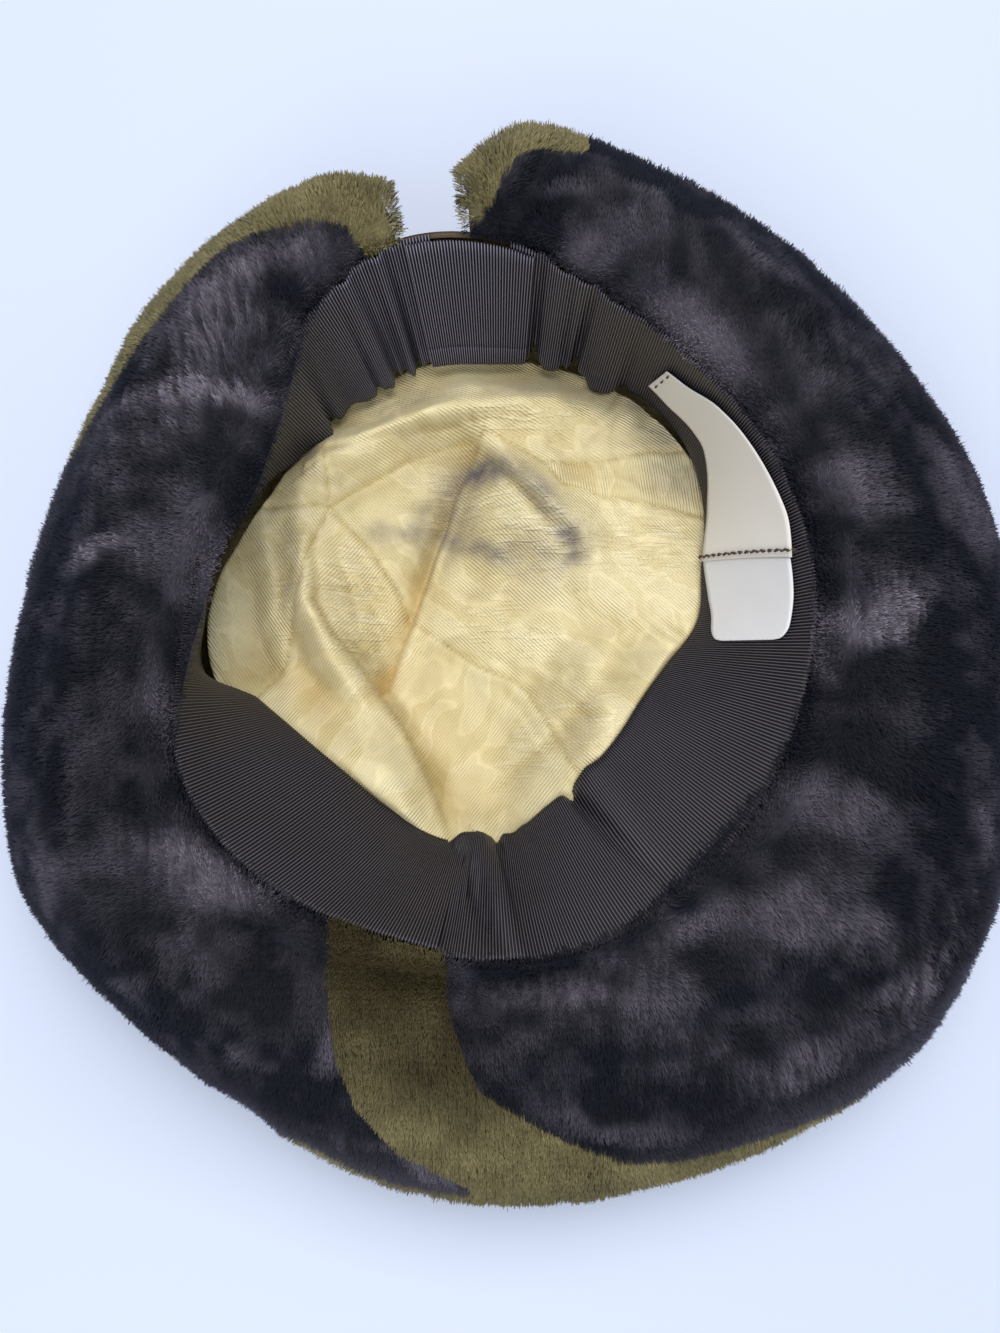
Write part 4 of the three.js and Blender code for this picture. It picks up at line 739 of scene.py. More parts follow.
def brocade_reverse_material(colours):
    """Silk and rayon brocade from its reverse: a satin ground, so soft gloss, and a raised woven figure."""
    finish = {"Roughness": 0.52, "Sheen Weight": 0.25, "Sheen Roughness": 0.4}
    material, tree, shader = new_material("brocade reverse, woven silk and rayon", finish)
    weave = node(tree, "ShaderNodeUVMap", {}, uv_map="weave")
    plan = node(tree, "ShaderNodeUVMap", {}, uv_map="plan")
    held = {name: node(tree, "ShaderNodeAttribute", {}, "Fac", attribute_name=name)
            for name in ("across", "down", "hollow", "ochre_tone", "smudge", "seam")}
    # Threads lie about 0.15 mm apart, too fine to show here, so the twill's ribs are drawn 0.85 mm apart
    twill = {"Vector": weave, "Scale": 0.37, "Distortion": 0.5, "Detail": 1.0}
    ribs, cross = (node(tree, "ShaderNodeTexWave", {**twill, "Phase Offset": phase}, 1, bands_direction="X")
                   for phase in (0, math.pi))
    # The figure is a loose leafy spray, its leaves about 4 mm wide and 12 mm long
    bent = node(tree, "ShaderNodeTexNoise", {"Vector": weave, "Scale": 0.06, "Detail": 2.0}, 1)
    swayed = node(tree, "ShaderNodeVectorMath", {0: bent, 1: (14.0, 14.0, 0.0), 2: weave},
                  operation="MULTIPLY_ADD")
    slim = node(tree, "ShaderNodeMapping", {"Vector": swayed, "Rotation": (0, 0, 0.6),
                                            "Scale": (1.0, 0.36, 1.0)})
    leaf = node(tree, "ShaderNodeTexVoronoi", {"Vector": slim, "Scale": 0.19, "Randomness": 1.0}, "Distance",
                feature="SMOOTH_F1")
    figure = node(tree, "ShaderNodeValToRGB", {0: leaf}, stops=[(0.38, 1), (0.5, 0)])
    cloud = node(tree, "ShaderNodeTexNoise", {"Vector": weave, "Scale": 0.035, "Detail": 3.0})
    ground = node(tree, "ShaderNodeValToRGB", {0: cloud}, stops=[(0.3, colours.deep), (0.62, colours.cream)])
    lifted = node(tree, "ShaderNodeMix", {0: figure, 6: ground, 7: colours.light}, 2, data_type="RGBA")
    base = node(tree, "ShaderNodeMix", {0: 0.2, 6: ground, 7: lifted}, 2, data_type="RGBA")
    # Painted shade in the furrows between the twill's ribs
    painted_furrow_shade = node(tree, "ShaderNodeValToRGB", {0: ribs}, stops=[(0.0, 0.86), (0.55, 1)])
    base = node(tree, "ShaderNodeMix", {0: 0.8, 6: base, 7: painted_furrow_shade}, 2, data_type="RGBA", blend_type="MULTIPLY")
    # Fine streaks where the cloth is crinkled, about 1 mm wide and 8 mm long
    streaks = 0.0
    for name, turn in (("across", 15), ("down", 68)):
        along = node(tree, "ShaderNodeMapping", {"Vector": plan, "Rotation": (0, 0, math.radians(turn)),
                                                 "Scale": (0.13, 1, 1)})
        lines = node(tree, "ShaderNodeTexNoise", {"Vector": along, "Scale": 0.75, "Detail": 2.0,
                                                  "Distortion": 0.8})
        shown = node(tree, "ShaderNodeValToRGB", {0: lines}, stops=[(0.5, 0), (0.66, 1)])
        streaks = node(tree, "ShaderNodeMath", {0: held[name], 1: shown, 2: streaks}, operation="MULTIPLY_ADD")
    # Painted highlights: the crinkle streaks are lightened towards the figure's colour, besides the bump below
    # that raises them
    pale = node(tree, "ShaderNodeMath", {0: streaks, 1: 0.6}, operation="MULTIPLY")
    # Painted shade: the cloth takes a deeper tone down in its folds
    painted_fold_shade = node(tree, "ShaderNodeMath", {0: held["hollow"], 1: 0.8}, operation="MULTIPLY")
    # Paint from the other side has bled through in soft blue-grey smudges, broken by the weave
    grain = node(tree, "ShaderNodeTexNoise", {"Vector": weave, "Scale": 0.22, "Detail": 4.0})
    threads = node(tree, "ShaderNodeValToRGB", {0: grain}, stops=[(0.35, 0.65), (0.6, 1)])
    broken = node(tree, "ShaderNodeMath", {0: held["smudge"], 1: threads}, operation="MULTIPLY")
    layers = [(pale, colours.light, "MIX"), (painted_fold_shade, colours.fold, "MULTIPLY"),
              (held["ochre_tone"], colours.ochre, "MIX"), (broken, colours.smudge, "MIX"),
              (held["seam"], colours.seam, "MIX")]
    for share, tone, blend in layers:
        base = node(tree, "ShaderNodeMix", {0: share, 6: base, 7: tone}, 2, data_type="RGBA", blend_type=blend)
    tree.links.new(base, shader["Base Color"])
    # Crushed cloth: sharp little creases a few millimetres apart, under the streaks, the figure and the ribs
    height = node(tree, "ShaderNodeMix", {0: figure, 2: ribs, 3: cross}, data_type="FLOAT")
    crushed = node(tree, "ShaderNodeTexNoise", {"Vector": plan, "Scale": 0.13, "Detail": 4.0,
                                                "Distortion": 0.6}, noise_type="RIDGED_MULTIFRACTAL")
    for finer in (crushed, streaks):
        height = node(tree, "ShaderNodeMath", {0: finer, 1: 3.0, 2: height}, operation="MULTIPLY_ADD")
    bump = node(tree, "ShaderNodeBump", {"Height": height, "Strength": 0.7, "Distance": 0.3 * MM})
    tree.links.new(bump, shader["Normal"])
    return material


def brocade_painted_material(colours):
    """The same brocade's right side, hand painted in dark brown and olive, with soft uneven cover."""
    finish = {"Roughness": 0.5, "Sheen Weight": 0.3, "Sheen Roughness": 0.4}
    material, tree, shader = new_material("brocade right side, hand painted", finish)
    weave = node(tree, "ShaderNodeUVMap", {}, uv_map="weave")
    cloud = node(tree, "ShaderNodeTexNoise", {"Vector": weave, "Scale": 0.03, "Detail": 4.0})
    base = node(tree, "ShaderNodeValToRGB", {0: cloud}, stops=[
        (0.35, colours.paint_dark), (0.5, colours.paint_brown), (0.64, colours.paint_olive)])
    leaf = node(tree, "ShaderNodeTexVoronoi", {"Vector": weave, "Scale": 0.07, "Randomness": 0.9}, "Distance",
                feature="SMOOTH_F1")
    figure = node(tree, "ShaderNodeValToRGB", {0: leaf}, stops=[(0.32, 0), (0.42, 1)])
    base = node(tree, "ShaderNodeMix", {0: figure, 6: base, 7: colours.paint_brown}, 2, data_type="RGBA")
    tree.links.new(base, shader["Base Color"])
    ribs = node(tree, "ShaderNodeTexWave", {"Vector": weave, "Scale": 0.45, "Distortion": 0.6, "Detail": 1.0},
                1, bands_direction="DIAGONAL")
    height = node(tree, "ShaderNodeMath", {0: figure, 1: 1.5, 2: ribs}, operation="MULTIPLY_ADD")
    bump = node(tree, "ShaderNodeBump", {"Height": height, "Strength": 0.5, "Distance": 0.25 * MM})
    tree.links.new(bump, shader["Normal"])
    return material


def grosgrain_material(colours):
    """Woven rayon grosgrain: hard round ribs that catch a dull light, with painted shade between them."""
    finish = {"Roughness": 0.48, "Specular IOR Level": 0.35}
    material, tree, shader = new_material("grosgrain, ribbed rayon ribbon", finish)
    weave = node(tree, "ShaderNodeUVMap", {}, uv_map="weave")
    rib, pale_sheen = (node(tree, "ShaderNodeAttribute", {}, "Fac", attribute_name=name) for name in ("rib", "pale_sheen"))
    cloud = node(tree, "ShaderNodeTexNoise", {"Vector": weave, "Scale": 0.06, "Detail": 3.0})
    # The ribbon's tone is paler at random, and paler still at the back as a painted sheen
    share = node(tree, "ShaderNodeMath", {0: cloud, 1: 0.3, 2: pale_sheen}, operation="MULTIPLY_ADD", use_clamp=True)
    tone = node(tree, "ShaderNodeMix", {0: share, 6: colours.ribbon, 7: colours.ribbon_wear_and_sheen}, 2,
                data_type="RGBA")
    # The grooves between the ribs take a painted shade, near black, and the crests the ribbon's tone
    crest = node(tree, "ShaderNodeValToRGB", {0: rib}, stops=[(0.5, 0), (0.95, 1)])
    base = node(tree, "ShaderNodeMix", {0: crest, 6: colours.painted_groove_shade, 7: tone}, 2, data_type="RGBA")
    tree.links.new(base, shader["Base Color"])
    # The ribs are real. The fine threads that cover them lie 0.45 mm apart here, coarser than the real ones
    threads = node(tree, "ShaderNodeTexWave", {"Vector": weave, "Scale": 0.7, "Distortion": 0.3}, 1,
                   bands_direction="Y")
    bump = node(tree, "ShaderNodeBump", {"Height": threads, "Strength": 0.25, "Distance": 0.08 * MM})
    tree.links.new(bump, shader["Normal"])
    return material


def plush_material(name, gleam):
    """Knitted acrylic pile, sheared short: dull fibres, painted dark at the root as shade, that catch light at
    their tips.
    """
    finish = {"Roughness": 0.7, "Specular IOR Level": 0.2, "Sheen Weight": 0.14, "Sheen Roughness": 0.45,
              "Sheen Tint": linear(gleam)}
    material, tree, shader = new_material(name, finish)
    shade = node(tree, "ShaderNodeAttribute", {}, "Color", attribute_name="pile_colour")
    tree.links.new(shade, shader["Base Color"])
    return material


def label_material(name, white, rough, scale):
    """Woven label cloth, smooth and slightly glossy, with fine weft lines."""
    finish = {"Roughness": rough, "Specular IOR Level": 0.5, "Sheen Weight": 0.1}
    material, tree, shader = new_material(name, finish)
    weave = node(tree, "ShaderNodeUVMap", {}, uv_map="weave")
    cloud = node(tree, "ShaderNodeTexNoise", {"Vector": weave, "Scale": 0.12, "Detail": 2.0})
    base = node(tree, "ShaderNodeMix", {0: cloud, 6: shaded(white, 0.93), 7: white}, 2, data_type="RGBA")
    tree.links.new(base, shader["Base Color"])
    lines = node(tree, "ShaderNodeTexWave", {"Vector": weave, "Scale": scale, "Distortion": 0.2}, 1,
                 bands_direction="Y")
    bump = node(tree, "ShaderNodeBump", {"Height": lines, "Strength": 0.3, "Distance": 0.05 * MM})
    tree.links.new(bump, shader["Normal"])
    return material


def thread_material(name, thread):
    """Spun sewing thread, a little glossy, whose twist is painted as fine light and dark."""
    material, tree, shader = new_material(name, {"Roughness": 0.45, "Sheen Weight": 0.1})
    place = node(tree, "ShaderNodeTexCoord", {}, "Object")
    twist = node(tree, "ShaderNodeTexNoise", {"Vector": place, "Scale": 3000.0})
    base = node(tree, "ShaderNodeMix", {0: twist, 6: shaded(thread, 0.7), 7: thread}, 2, data_type="RGBA")
    tree.links.new(base, shader["Base Color"])
    return material


def surface_material(pale):
    """Painted board with a satin finish, nearly even."""
    finish = {"Roughness": 0.45, "Specular IOR Level": 0.3}
    material, tree, shader = new_material("studio board, satin paint", finish)
    place = node(tree, "ShaderNodeTexCoord", {}, "Object")
    cloud = node(tree, "ShaderNodeTexNoise", {"Vector": place, "Scale": 3.0, "Detail": 2.0})
    base = node(tree, "ShaderNodeMix", {0: cloud, 6: shaded(pale, 0.985), 7: pale}, 2, data_type="RGBA")
    tree.links.new(base, shader["Base Color"])
    return material


# Crown


def spots(rows, x, y):
    """How strongly a table of soft oval spots covers places in plan, from 0 to 1."""
    left = np.ones(np.shape(x))
    for at_x, at_y, long, short, turn, strength in zip(*(rows[key] for key in SPOT_COLUMNS)):
        c, s = math.cos(math.radians(turn)), math.sin(math.radians(turn))
        along, across = ((x - at_x) * c + (y - at_y) * s) / long, ((y - at_y) * c - (x - at_x) * s) / short
        left *= 1 - strength * np.exp(-(along ** 2 + across ** 2) ** SPOT_EDGE)
    return 1 - left


def seam_distance(x, y):
    near = [path_near(path, x, y)[0] for path in SEAMS.values()]
    return np.min(near, axis=0)


def panel_turn(x, y):
    """The way that the cloth's grain runs in the panel at each place in plan, in degrees."""
    turn = np.full(np.shape(x), MIDDLE_GRAIN)
    for first, far, last, back, grain in PANELS:
        outline = SEAMS[first] + far + SEAMS[last][::-1] + back
        turn = np.where(inside(outline, x, y), grain, turn)
    return turn


def crown_relief(x, y):
    """Fine folds of the tip: creases, the grooves and puckers of its seams, and crushed cloth all over."""
    seam = seam_distance(x, y)
    groove = -SEAM_GROOVE * np.exp(-(seam / SEAM_GROOVE_HALF) ** 2)
    welt = SEAM_WELT * np.exp(-((seam - SEAM_WELT_AT) / SEAM_WELT_HALF) ** 2)
    pucker = SEAM_PUCKER * lumps(x, y, SEAM_PUCKER_SIZE, 4) * np.exp(-(seam / SEAM_PUCKER_REACH) ** 2)
    # The cloth is crinkled across in the middle and down at the left
    middle = 0.5 * lumps(x * 0.5 + y * 0.3, y, 5, 7) * np.exp(-((x - 4) ** 2 + (y - 25) ** 2) / 26 ** 2)
    left = lumps(x * 0.8, y * 0.35 + x * 0.3, 4, 9) * np.exp(-((x + 42) ** 2 + (y - 4) ** 2) / 18 ** 2)
    crushed = uneven(SOFT_LUMPS, x, y) + uneven(SHARP_LUMPS, x, y, np.abs) + crumple_height(x, y)
    return fold_height(CREASES, x, y) + groove + welt + pucker + middle + 0.35 * left + crushed


def crumple_height(x, y):
    """Thin crisp ridges in the places and along the ways that the table of crumples gives."""
    total = np.zeros(np.shape(x))
    wave = 1.4 * lumps(x, y, 10, 43)
    for i, (grain, pitch, rise) in enumerate(zip(*(CRUMPLES[key] for key in ("grain", "pitch", "rise")))):
        here = spots({key: values[i:i + 1] for key, values in CRUMPLES.items()}, x, y)
        c, s = math.cos(math.radians(grain)), math.sin(math.radians(grain))
        ridges = lumps(0.2 * (x * c + y * s), y * c - x * s + wave, pitch, 44 + i)
        total += rise * here * (1 - 2 * np.abs(ridges))
    return total


def hollow_share(x, y):
    """How deep in a fold the cloth of the tip lies at places in plan, from 0 to 1."""
    def height(x, y):
        return tip_height(x, y) + crown_relief(x, y)

    here, share = height(x, y), 0
    for reach, depth in zip(*HOLLOW_REACH.values()):
        round_about = [height(x + i * reach, y + j * reach) for i, j in ((1, 0), (-1, 0), (0, 1), (0, -1))]
        share = np.maximum(share, (np.mean(round_about, axis=0) - here) / depth)
    return np.clip(share, 0, 1)


def tip_spread(angle):
    """How much farther out the crushed tip lies at the left, close to the ribbon's free edge."""
    return around_folds(TIP_SPREAD, angle, TIP_SPREAD["rise"])


def crown_surface(cells, rows):
    """Inner side of the crown: a disc of cells over the tip, then rows round the ring and up the wall."""
    side = np.linspace(-1, 1, cells + 1)
    a, b = np.meshgrid(side, side, indexing="ij")
    disc_x, disc_y = (a * np.sqrt(1 - b * b / 2)).ravel(), (b * np.sqrt(1 - a * a / 2)).ravel()
    n = cells
    i = np.concatenate([np.arange(n), np.full(n, n), np.arange(n, 0, -1), np.zeros(n, int)])
    j = np.concatenate([np.zeros(n, int), np.arange(n), np.full(n, n), np.arange(n, 0, -1)])
    border = i * (n + 1) + j
    angle = np.degrees(np.arctan2(disc_y, disc_x))
    reach = column(CROWN, "ring", angle) - TIP_RISE_TO + tip_spread(angle)
    x, y = disc_x * reach, disc_y * reach
    tip = np.stack([x, y, np.maximum(tip_height(x, y) + crown_relief(x, y), CLOTH_THICK)], -1)

    # The wall is a smooth curve through a few knots of radius and height at each angle of the disc's border
    angle, reach = angle[border], reach[border]
    ring, belly = column(CROWN, "ring", angle), column(CROWN, "belly", angle)
    seam, top = column(HEAD, "seam", angle), column(HEAD, "top", angle)
    full = belly + around_folds(WALL_FOLDS, angle, WALL_FOLDS["rise"])
    lean = np.maximum(0, column(HEAD, "free", angle) - seam)
    knots = []
    for inward in RING_STEPS:
        r = ring - inward + tip_spread(angle) * max(inward + 1, 0) / (TIP_RISE_TO + 1)
        plan = polar(angle, r, 0)
        foot = CLOTH_THICK + (CLOTH_THICK if inward < RING_LIFTS_AT else 0)
        rise = smoothstep((inward - RING_FOOT) / (TIP_RISE_TO - RING_FOOT))
        over = tip_height(plan[:, 0], plan[:, 1]) + crown_relief(plan[:, 0], plan[:, 1]) - CLOTH_THICK
        knots.append(np.stack([r, foot + rise * np.maximum(0, over)], -1))
    for out, high in zip(*WALL_KNOTS.values()):
        if out <= 1:
            r = (seam + CROWN_CLEAR + WALL_LEAN * lean) * (1 - out) + full * out
        else:
            r = belly + (ring + RING_BULGE - belly) * (out - 1)
        knots.append(np.stack([r, top * high], -1))
    knots = np.array(knots)
    ends = [2 * knots[0] - knots[1], *knots, 2 * knots[-1] - knots[-2]]
    wall = []
    for t in np.linspace(0, len(knots) - 1, rows + 1)[1:]:
        k = min(int(t), len(knots) - 2)
        p0, p1, p2, p3 = ends[k:k + 4]
        t -= k
        wall.append(0.5 * (2 * p1 + (p2 - p0) * t + (2 * p0 - 5 * p1 + 4 * p2 - p3) * t ** 2
                           + (3 * p1 - p0 - 3 * p2 + p3) * t ** 3))
    wall = np.array(wall)
    up_wall = (np.arange(rows) / rows)[:, None]
    ripple = lumps(np.radians(angle)[None, :] * 90, wall[..., 1], 11, 13) * np.sin(up_wall * math.pi) ** 0.5
    radius = wall[..., 0] + WALL_RIPPLE * ripple
    wall_points = polar(angle[None, :], radius, np.maximum(wall[..., 1], CLOTH_THICK))
    points = np.concatenate([tip, wall_points.reshape(-1, 3)])

    # The same places on the flat cloth: the tip in plan, and the wall laid out round it by its length
    steps = np.linalg.norm(np.diff(np.concatenate([tip[border][None], wall_points]), axis=0), axis=-1)
    out = reach[None, :] + np.cumsum(steps, axis=0)
    cloth = np.concatenate([np.stack([x, y], -1), polar(angle[None, :], out, 0)[..., :2].reshape(-1, 2)])
    return points, border, cloth


def crown_faces(cells, rows, border):
    """Quads of crown_surface, and the points of its last row."""
    row, size = cells + 1, len(border)
    i, j = np.meshgrid(np.arange(cells), np.arange(cells), indexing="ij")
    tip = np.stack([i * row + j, (i + 1) * row + j, (i + 1) * row + j + 1, i * row + j + 1], -1)
    ring = np.concatenate([border[None], row ** 2 + np.arange(rows * size).reshape(rows, size)])
    after = np.roll(ring, -1, 1)
    wall = np.stack([ring[:-1], ring[1:], after[1:], after[:-1]], -1)
    return np.concatenate([tip.reshape(-1, 4), wall.reshape(-1, 4)]), ring[-1]


def build_crown(cells, rows):
    """The pieced crown as one closed cloth with its folds, for which the seams are drawn into both sides."""
    inner, border, cloth = crown_surface(cells, rows)
    faces, rim = crown_faces(cells, rows, border)
    normal = surface_normals(inner, faces)
    if normal[(cells + 1) ** 2 // 2][2] < 0:
        normal, faces = -normal, faces[:, ::-1]
    outer = inner - normal * CLOTH_THICK
    outer[:, 2] = np.maximum(outer[:, 2], 0)
    points = np.concatenate([inner, outer])
    strip, strip_chart = rim_strip(rim, len(inner))
    # Charts: the inner side as a large disc, the outer side as a smaller one, and the rim as a strip
    disc = cloth / np.hypot(cloth[:, 0], cloth[:, 1]).max()
    inner_chart = (disc * 0.355 + [0.36, 0.36])[faces]
    outer_chart = (disc * 0.13 + [0.86, 0.86])[faces[:, ::-1]]
    all_faces = [faces, faces[:, ::-1] + len(inner), strip]
    charts = [inner_chart, outer_chart, strip_chart * [0.7, -0.005] + [0, 0.73]]
    made = make_object("crown_brocade", points, all_faces, charts)
    # The cloth's own grain, in millimetres, turned panel by panel
    flat = points[faces].mean(1)
    on_tip = np.hypot(flat[:, 0], flat[:, 1])[:, None] <= TIP_PANELS_TO
    middles = np.where(on_tip, cloth[faces].mean(1), flat[:, :2])
    turn = np.radians(panel_turn(middles[:, 0], middles[:, 1]))[:, None]
    corners = cloth[faces]
    grain = np.stack([corners[..., 0] * np.cos(turn) + corners[..., 1] * np.sin(turn),
                      corners[..., 1] * np.cos(turn) - corners[..., 0] * np.sin(turn)], -1)
    rim_grain = np.stack([cloth[rim], np.roll(cloth[rim], -1, 0), np.roll(cloth[rim], -1, 0), cloth[rim]], 1)
    add_chart(made.data, "weave", [grain, grain[:, ::-1], rim_grain])
    add_chart(made.data, "plan", [points[f][..., :2] for f in all_faces])
    x, y = inner[:, 0], inner[:, 1]
    marks = {"smudge": spots(SMUDGES, x, y), "ochre_tone": spots(WARM_SPOTS, x, y), "hollow": hollow_share(x, y),
             "seam": SEAM_SHADE * np.exp(-(seam_distance(x, y) / SEAM_SHADE_HALF) ** 2),
             "across": spots(ACROSS, x, y), "down": spots(DOWN, x, y)}
    for name, values in marks.items():
        add_values(made.data, name, np.tile(values, 2))
    # The painted right side is the second material, from the first face of the outer side on
    slots = np.zeros(len(faces) * 2 + len(strip), np.int32)
    slots[len(faces):] = 1
    made.data.polygons.foreach_set("material_index", slots)
    return made


# Ribbon


def even_places(start, stop, share, step):
    """Angles at equal steps of length along the ribbon."""
    fine = np.linspace(start, stop, 4000)
    steps = np.linalg.norm(np.diff(ribbon_point(fine, share, 0.0), axis=0), axis=-1)
    length = np.concatenate([[0], np.cumsum(steps)])
    count = int(round(length[-1] / step))
    return np.interp(np.linspace(0, length[-1], count + 1), length, fine)


def rib_band(name, angles, shares, lift, thick, pitch_steps):
    """A grosgrain band along the ribbon surface: real ribs across it, and scalloped edges where they end."""
    k = np.arange(len(angles))
    rib = 0.5 - 0.5 * np.cos(k * 2 * math.pi / pitch_steps)
    fade = np.minimum(1, np.minimum(shares - shares[0], shares[-1] - shares) / 0.03 + 0.35)
    stretch = np.zeros((len(angles), len(shares)))
    stretch[:, 0] -= RIB_SCALLOP * rib
    stretch[:, -1] += RIB_SCALLOP * rib
    share = shares[None, :] + stretch / RIBBON_WIDTH
    at = rib_angle(angles[:, None], share)
    base = lift(at, share)
    head_side = ribbon_point(at, share, base + RIB_HEIGHT * rib[:, None] * fade[None, :])
    back_side = ribbon_point(at, share, base - thick)
    rings = np.concatenate([head_side, back_side[:, ::-1]], 1)
    made = loft(name, rings)
    # The painted sheen at the back, as a share of the paler tone
    pale_sheen = around_folds(BACK_SHEEN, angles, BACK_SHEEN["share"])
    for key, values, at_ends in (("rib", rib, 0.5), ("pale_sheen", pale_sheen, 0)):
        add_values(made.data, key, np.append(np.repeat(values, rings.shape[1]), [at_ends, at_ends]))
    width = RIBBON_WIDTH * np.concatenate([shares, shares[::-1]])
    along = k * (RIB_PITCH / pitch_steps)
    place = np.stack(np.broadcast_arrays(along[:, None], width[None, :]), -1).reshape(-1, 2)
    place = np.concatenate([place, [[0, 0], [along[-1], 0]]])
    corners = np.empty(len(made.data.loops), np.int32)
    made.data.loops.foreach_get("vertex_index", corners)
    add_chart(made.data, "weave", place[corners])
    return made


def ribbon_lift(angle, share):
    """How the sweatband stands proud of its smooth surface: a lapped end in front, and gathers at the back."""
    share, turn = np.asarray(share), np.asarray(angle) % 360
    # The left part ends over the right one at the front, along a slanting edge
    edge_at = np.interp(share, LAPPED_END["share"], LAPPED_END["at"])
    over = smoothstep((edge_at - turn) / END_SLOPE) * smoothstep((turn - END_FADES_AT) / 20)
    lift = END_LIFT * over + front_pleat(turn, share, over)
    for seam_at, free_at, wide, seam_rise, rise in zip(*GATHERS.values()):
        off = ((turn - (seam_at + (free_at - seam_at) * share) + 180) % 360 - 180) / wide
        lift = lift + np.exp(-off * off) * (seam_rise + (rise - seam_rise) * share)
    # A casing stitched over elastic runs along the free edge at the back
    back = smoothstep((turn - CASING_FROM) / 5) * smoothstep((CASING_TO - turn) / 5)
    casing = np.exp(-((share - CASING_LINE) / 0.018) ** 2)
    bulge = np.exp(-((share - 0.93) / 0.05) ** 2)
    return lift + back * (0.7 * bulge - 1.1 * casing)


def front_pleat(turn, share, over):
    """The loop of surplus ribbon beside the lapped end, and the hollow between the two."""
    at, half, rise = (np.interp(share, PLEAT["share"], PLEAT[key]) for key in ("at", "half", "rise"))
    off = (turn - at) / half
    first = int(np.argmin(np.abs(RIBBON_FOLDS["at"] - PLEAT_FOLD_AT)))
    low, high = RIBBON_FOLDS["seam_rise"][first], RIBBON_FOLDS["rise"][first]
    fold = (low + (high - low) * share) * np.exp(-((turn - PLEAT_FOLD_AT) / RIBBON_FOLDS["wide"][first]) ** 2)
    loop = np.maximum(rise * np.exp(-off ** 4) - fold, 0)
    hollow = np.interp(share, PLEAT["share"], PLEAT["hollow"]) * np.exp(-((off + 1.5) / 0.5) ** 2)
    return (loop - hollow) * (1 - over)


def rib_angle(angle, share):
    """Where a rib that starts at an angle of the head seam has got to: ribs lean towards the front pleat."""
    return angle + around_folds(RIB_LEAN, angle, RIB_LEAN["turn"]) * share


def build_sweatband():
    start, stop = LAP_TO - END_UNDER_LAP, LAP_FROM + END_UNDER_LAP + 360
    angles = even_places(start, stop, 0.5, RIB_PITCH / BAND_STEPS)
    shares = np.array([0, 0.03, 0.14, 0.28, 0.42, 0.56, 0.7, 0.8, 0.86, 0.9, 0.95, 1.0])
    return rib_band("sweatband_grosgrain", angles, shares, ribbon_lift, CLOTH_THICK * 0.45, BAND_STEPS)


def build_back_lap():
    def lift(angle, share):
        casing = np.exp(-((share - LAP_LINE) / 0.012) ** 2)
        sides = smoothstep((angle - LAP_FROM) / 1.2) * smoothstep((LAP_TO - angle) / 1.2)
        column_dip = np.exp(-((angle - LAP_COLUMN) / 0.35) ** 2) * (share < LAP_COLUMN_END)
        return LAP_LIFT + 0.5 * sides - 0.7 * casing - 0.4 * column_dip

    angles = even_places(LAP_FROM, LAP_TO, 0.5, RIB_PITCH / LAP_STEPS)
    near_edge = [0.82, 0.838, 0.85, 0.862, 0.88, 0.94, 0.975, 1.005]
    shares = np.concatenate([np.linspace(0.01, 0.78, 12), near_edge])
    return rib_band("back_lap_grosgrain", angles, shares, lift, CLOTH_THICK / 2, LAP_STEPS)


# Labels


def label_points(rows, steps_along, steps_across, lift, round_corners=0.0):
    """A label over the ribbon: the grid of its face, from its first row to its last."""
    rank = np.arange(len(rows["seam_at"]))
    t = np.linspace(0, len(rank) - 1, steps_along)
    edge = {key: np.interp(t, rank, values) for key, values in rows.items()}
    for key, values in edge.items():
        padded = np.concatenate([np.full(2, values[0]), values, np.full(2, values[-1])])
        edge[key] = np.convolve(padded, np.ones(5) / 5, "valid")
    s = np.repeat(np.linspace(0, 1, steps_across)[None, :], steps_along, 0)
    if round_corners:
        # The last rows narrow along a quarter circle at either side
        left = np.clip((t[-1] - t) / t[-1] * LABEL_LONG / round_corners, 0, 1)
        cut = round_corners / LABEL_WIDE * (1 - np.sqrt(1 - (1 - left) ** 2))
        s = cut[:, None] + s * (1 - 2 * cut[:, None])
    # It follows the ribbon for the most part, and otherwise runs straight from side to side
    seam_at, seam_share, free_at, free_share = (edge[key][:, None] for key in rows)
    start, stop = ribbon_point(seam_at, seam_share, lift), ribbon_point(free_at, free_share, lift)
    angle, share = seam_at + (free_at - seam_at) * s, seam_share + (free_share - seam_share) * s
    return ribbon_point(angle, share, lift) * 0.75 + (start + (stop - start) * s[..., None]) * 0.25


def build_label(name, points, thick, cut):
    """A closed thin label through a grid of points, charted with its face apart from its back."""
    rows, cols = points.shape[:2]
    face, chart = grid(rows, cols)
    flat = points.reshape(-1, 3)
    normal = surface_normals(flat, face)
    if np.einsum("ij,ij->", normal, -flat * [1, 1, 0]) < 0:
        normal, face, chart = -normal, face[:, ::-1], chart[:, ::-1]
    i = np.arange(len(flat)).reshape(rows, cols)
    rim = np.concatenate([i[:-1, 0], i[-1, :-1], i[:0:-1, -1], i[0, :0:-1]])
    strip, strip_chart = rim_strip(rim, len(flat))
    strip_chart = strip_chart * [0.98, 0.015] + [0.01, 0.98]
    both_sides = np.concatenate([flat, flat - normal * thick])
    charts = [chart * [0.48, 0.96] + 0.01, chart[:, ::-1] * [0.48, 0.96] + [0.51, 0.01], strip_chart]
    made = make_object(name, both_sides, [face, face[:, ::-1] + len(flat), strip], charts)
    wide, long = cut
    mm_chart = chart * [long / MM, wide / MM]
    add_chart(made.data, "weave", [mm_chart, mm_chart[:, ::-1], strip_chart])
    return made


# Plush


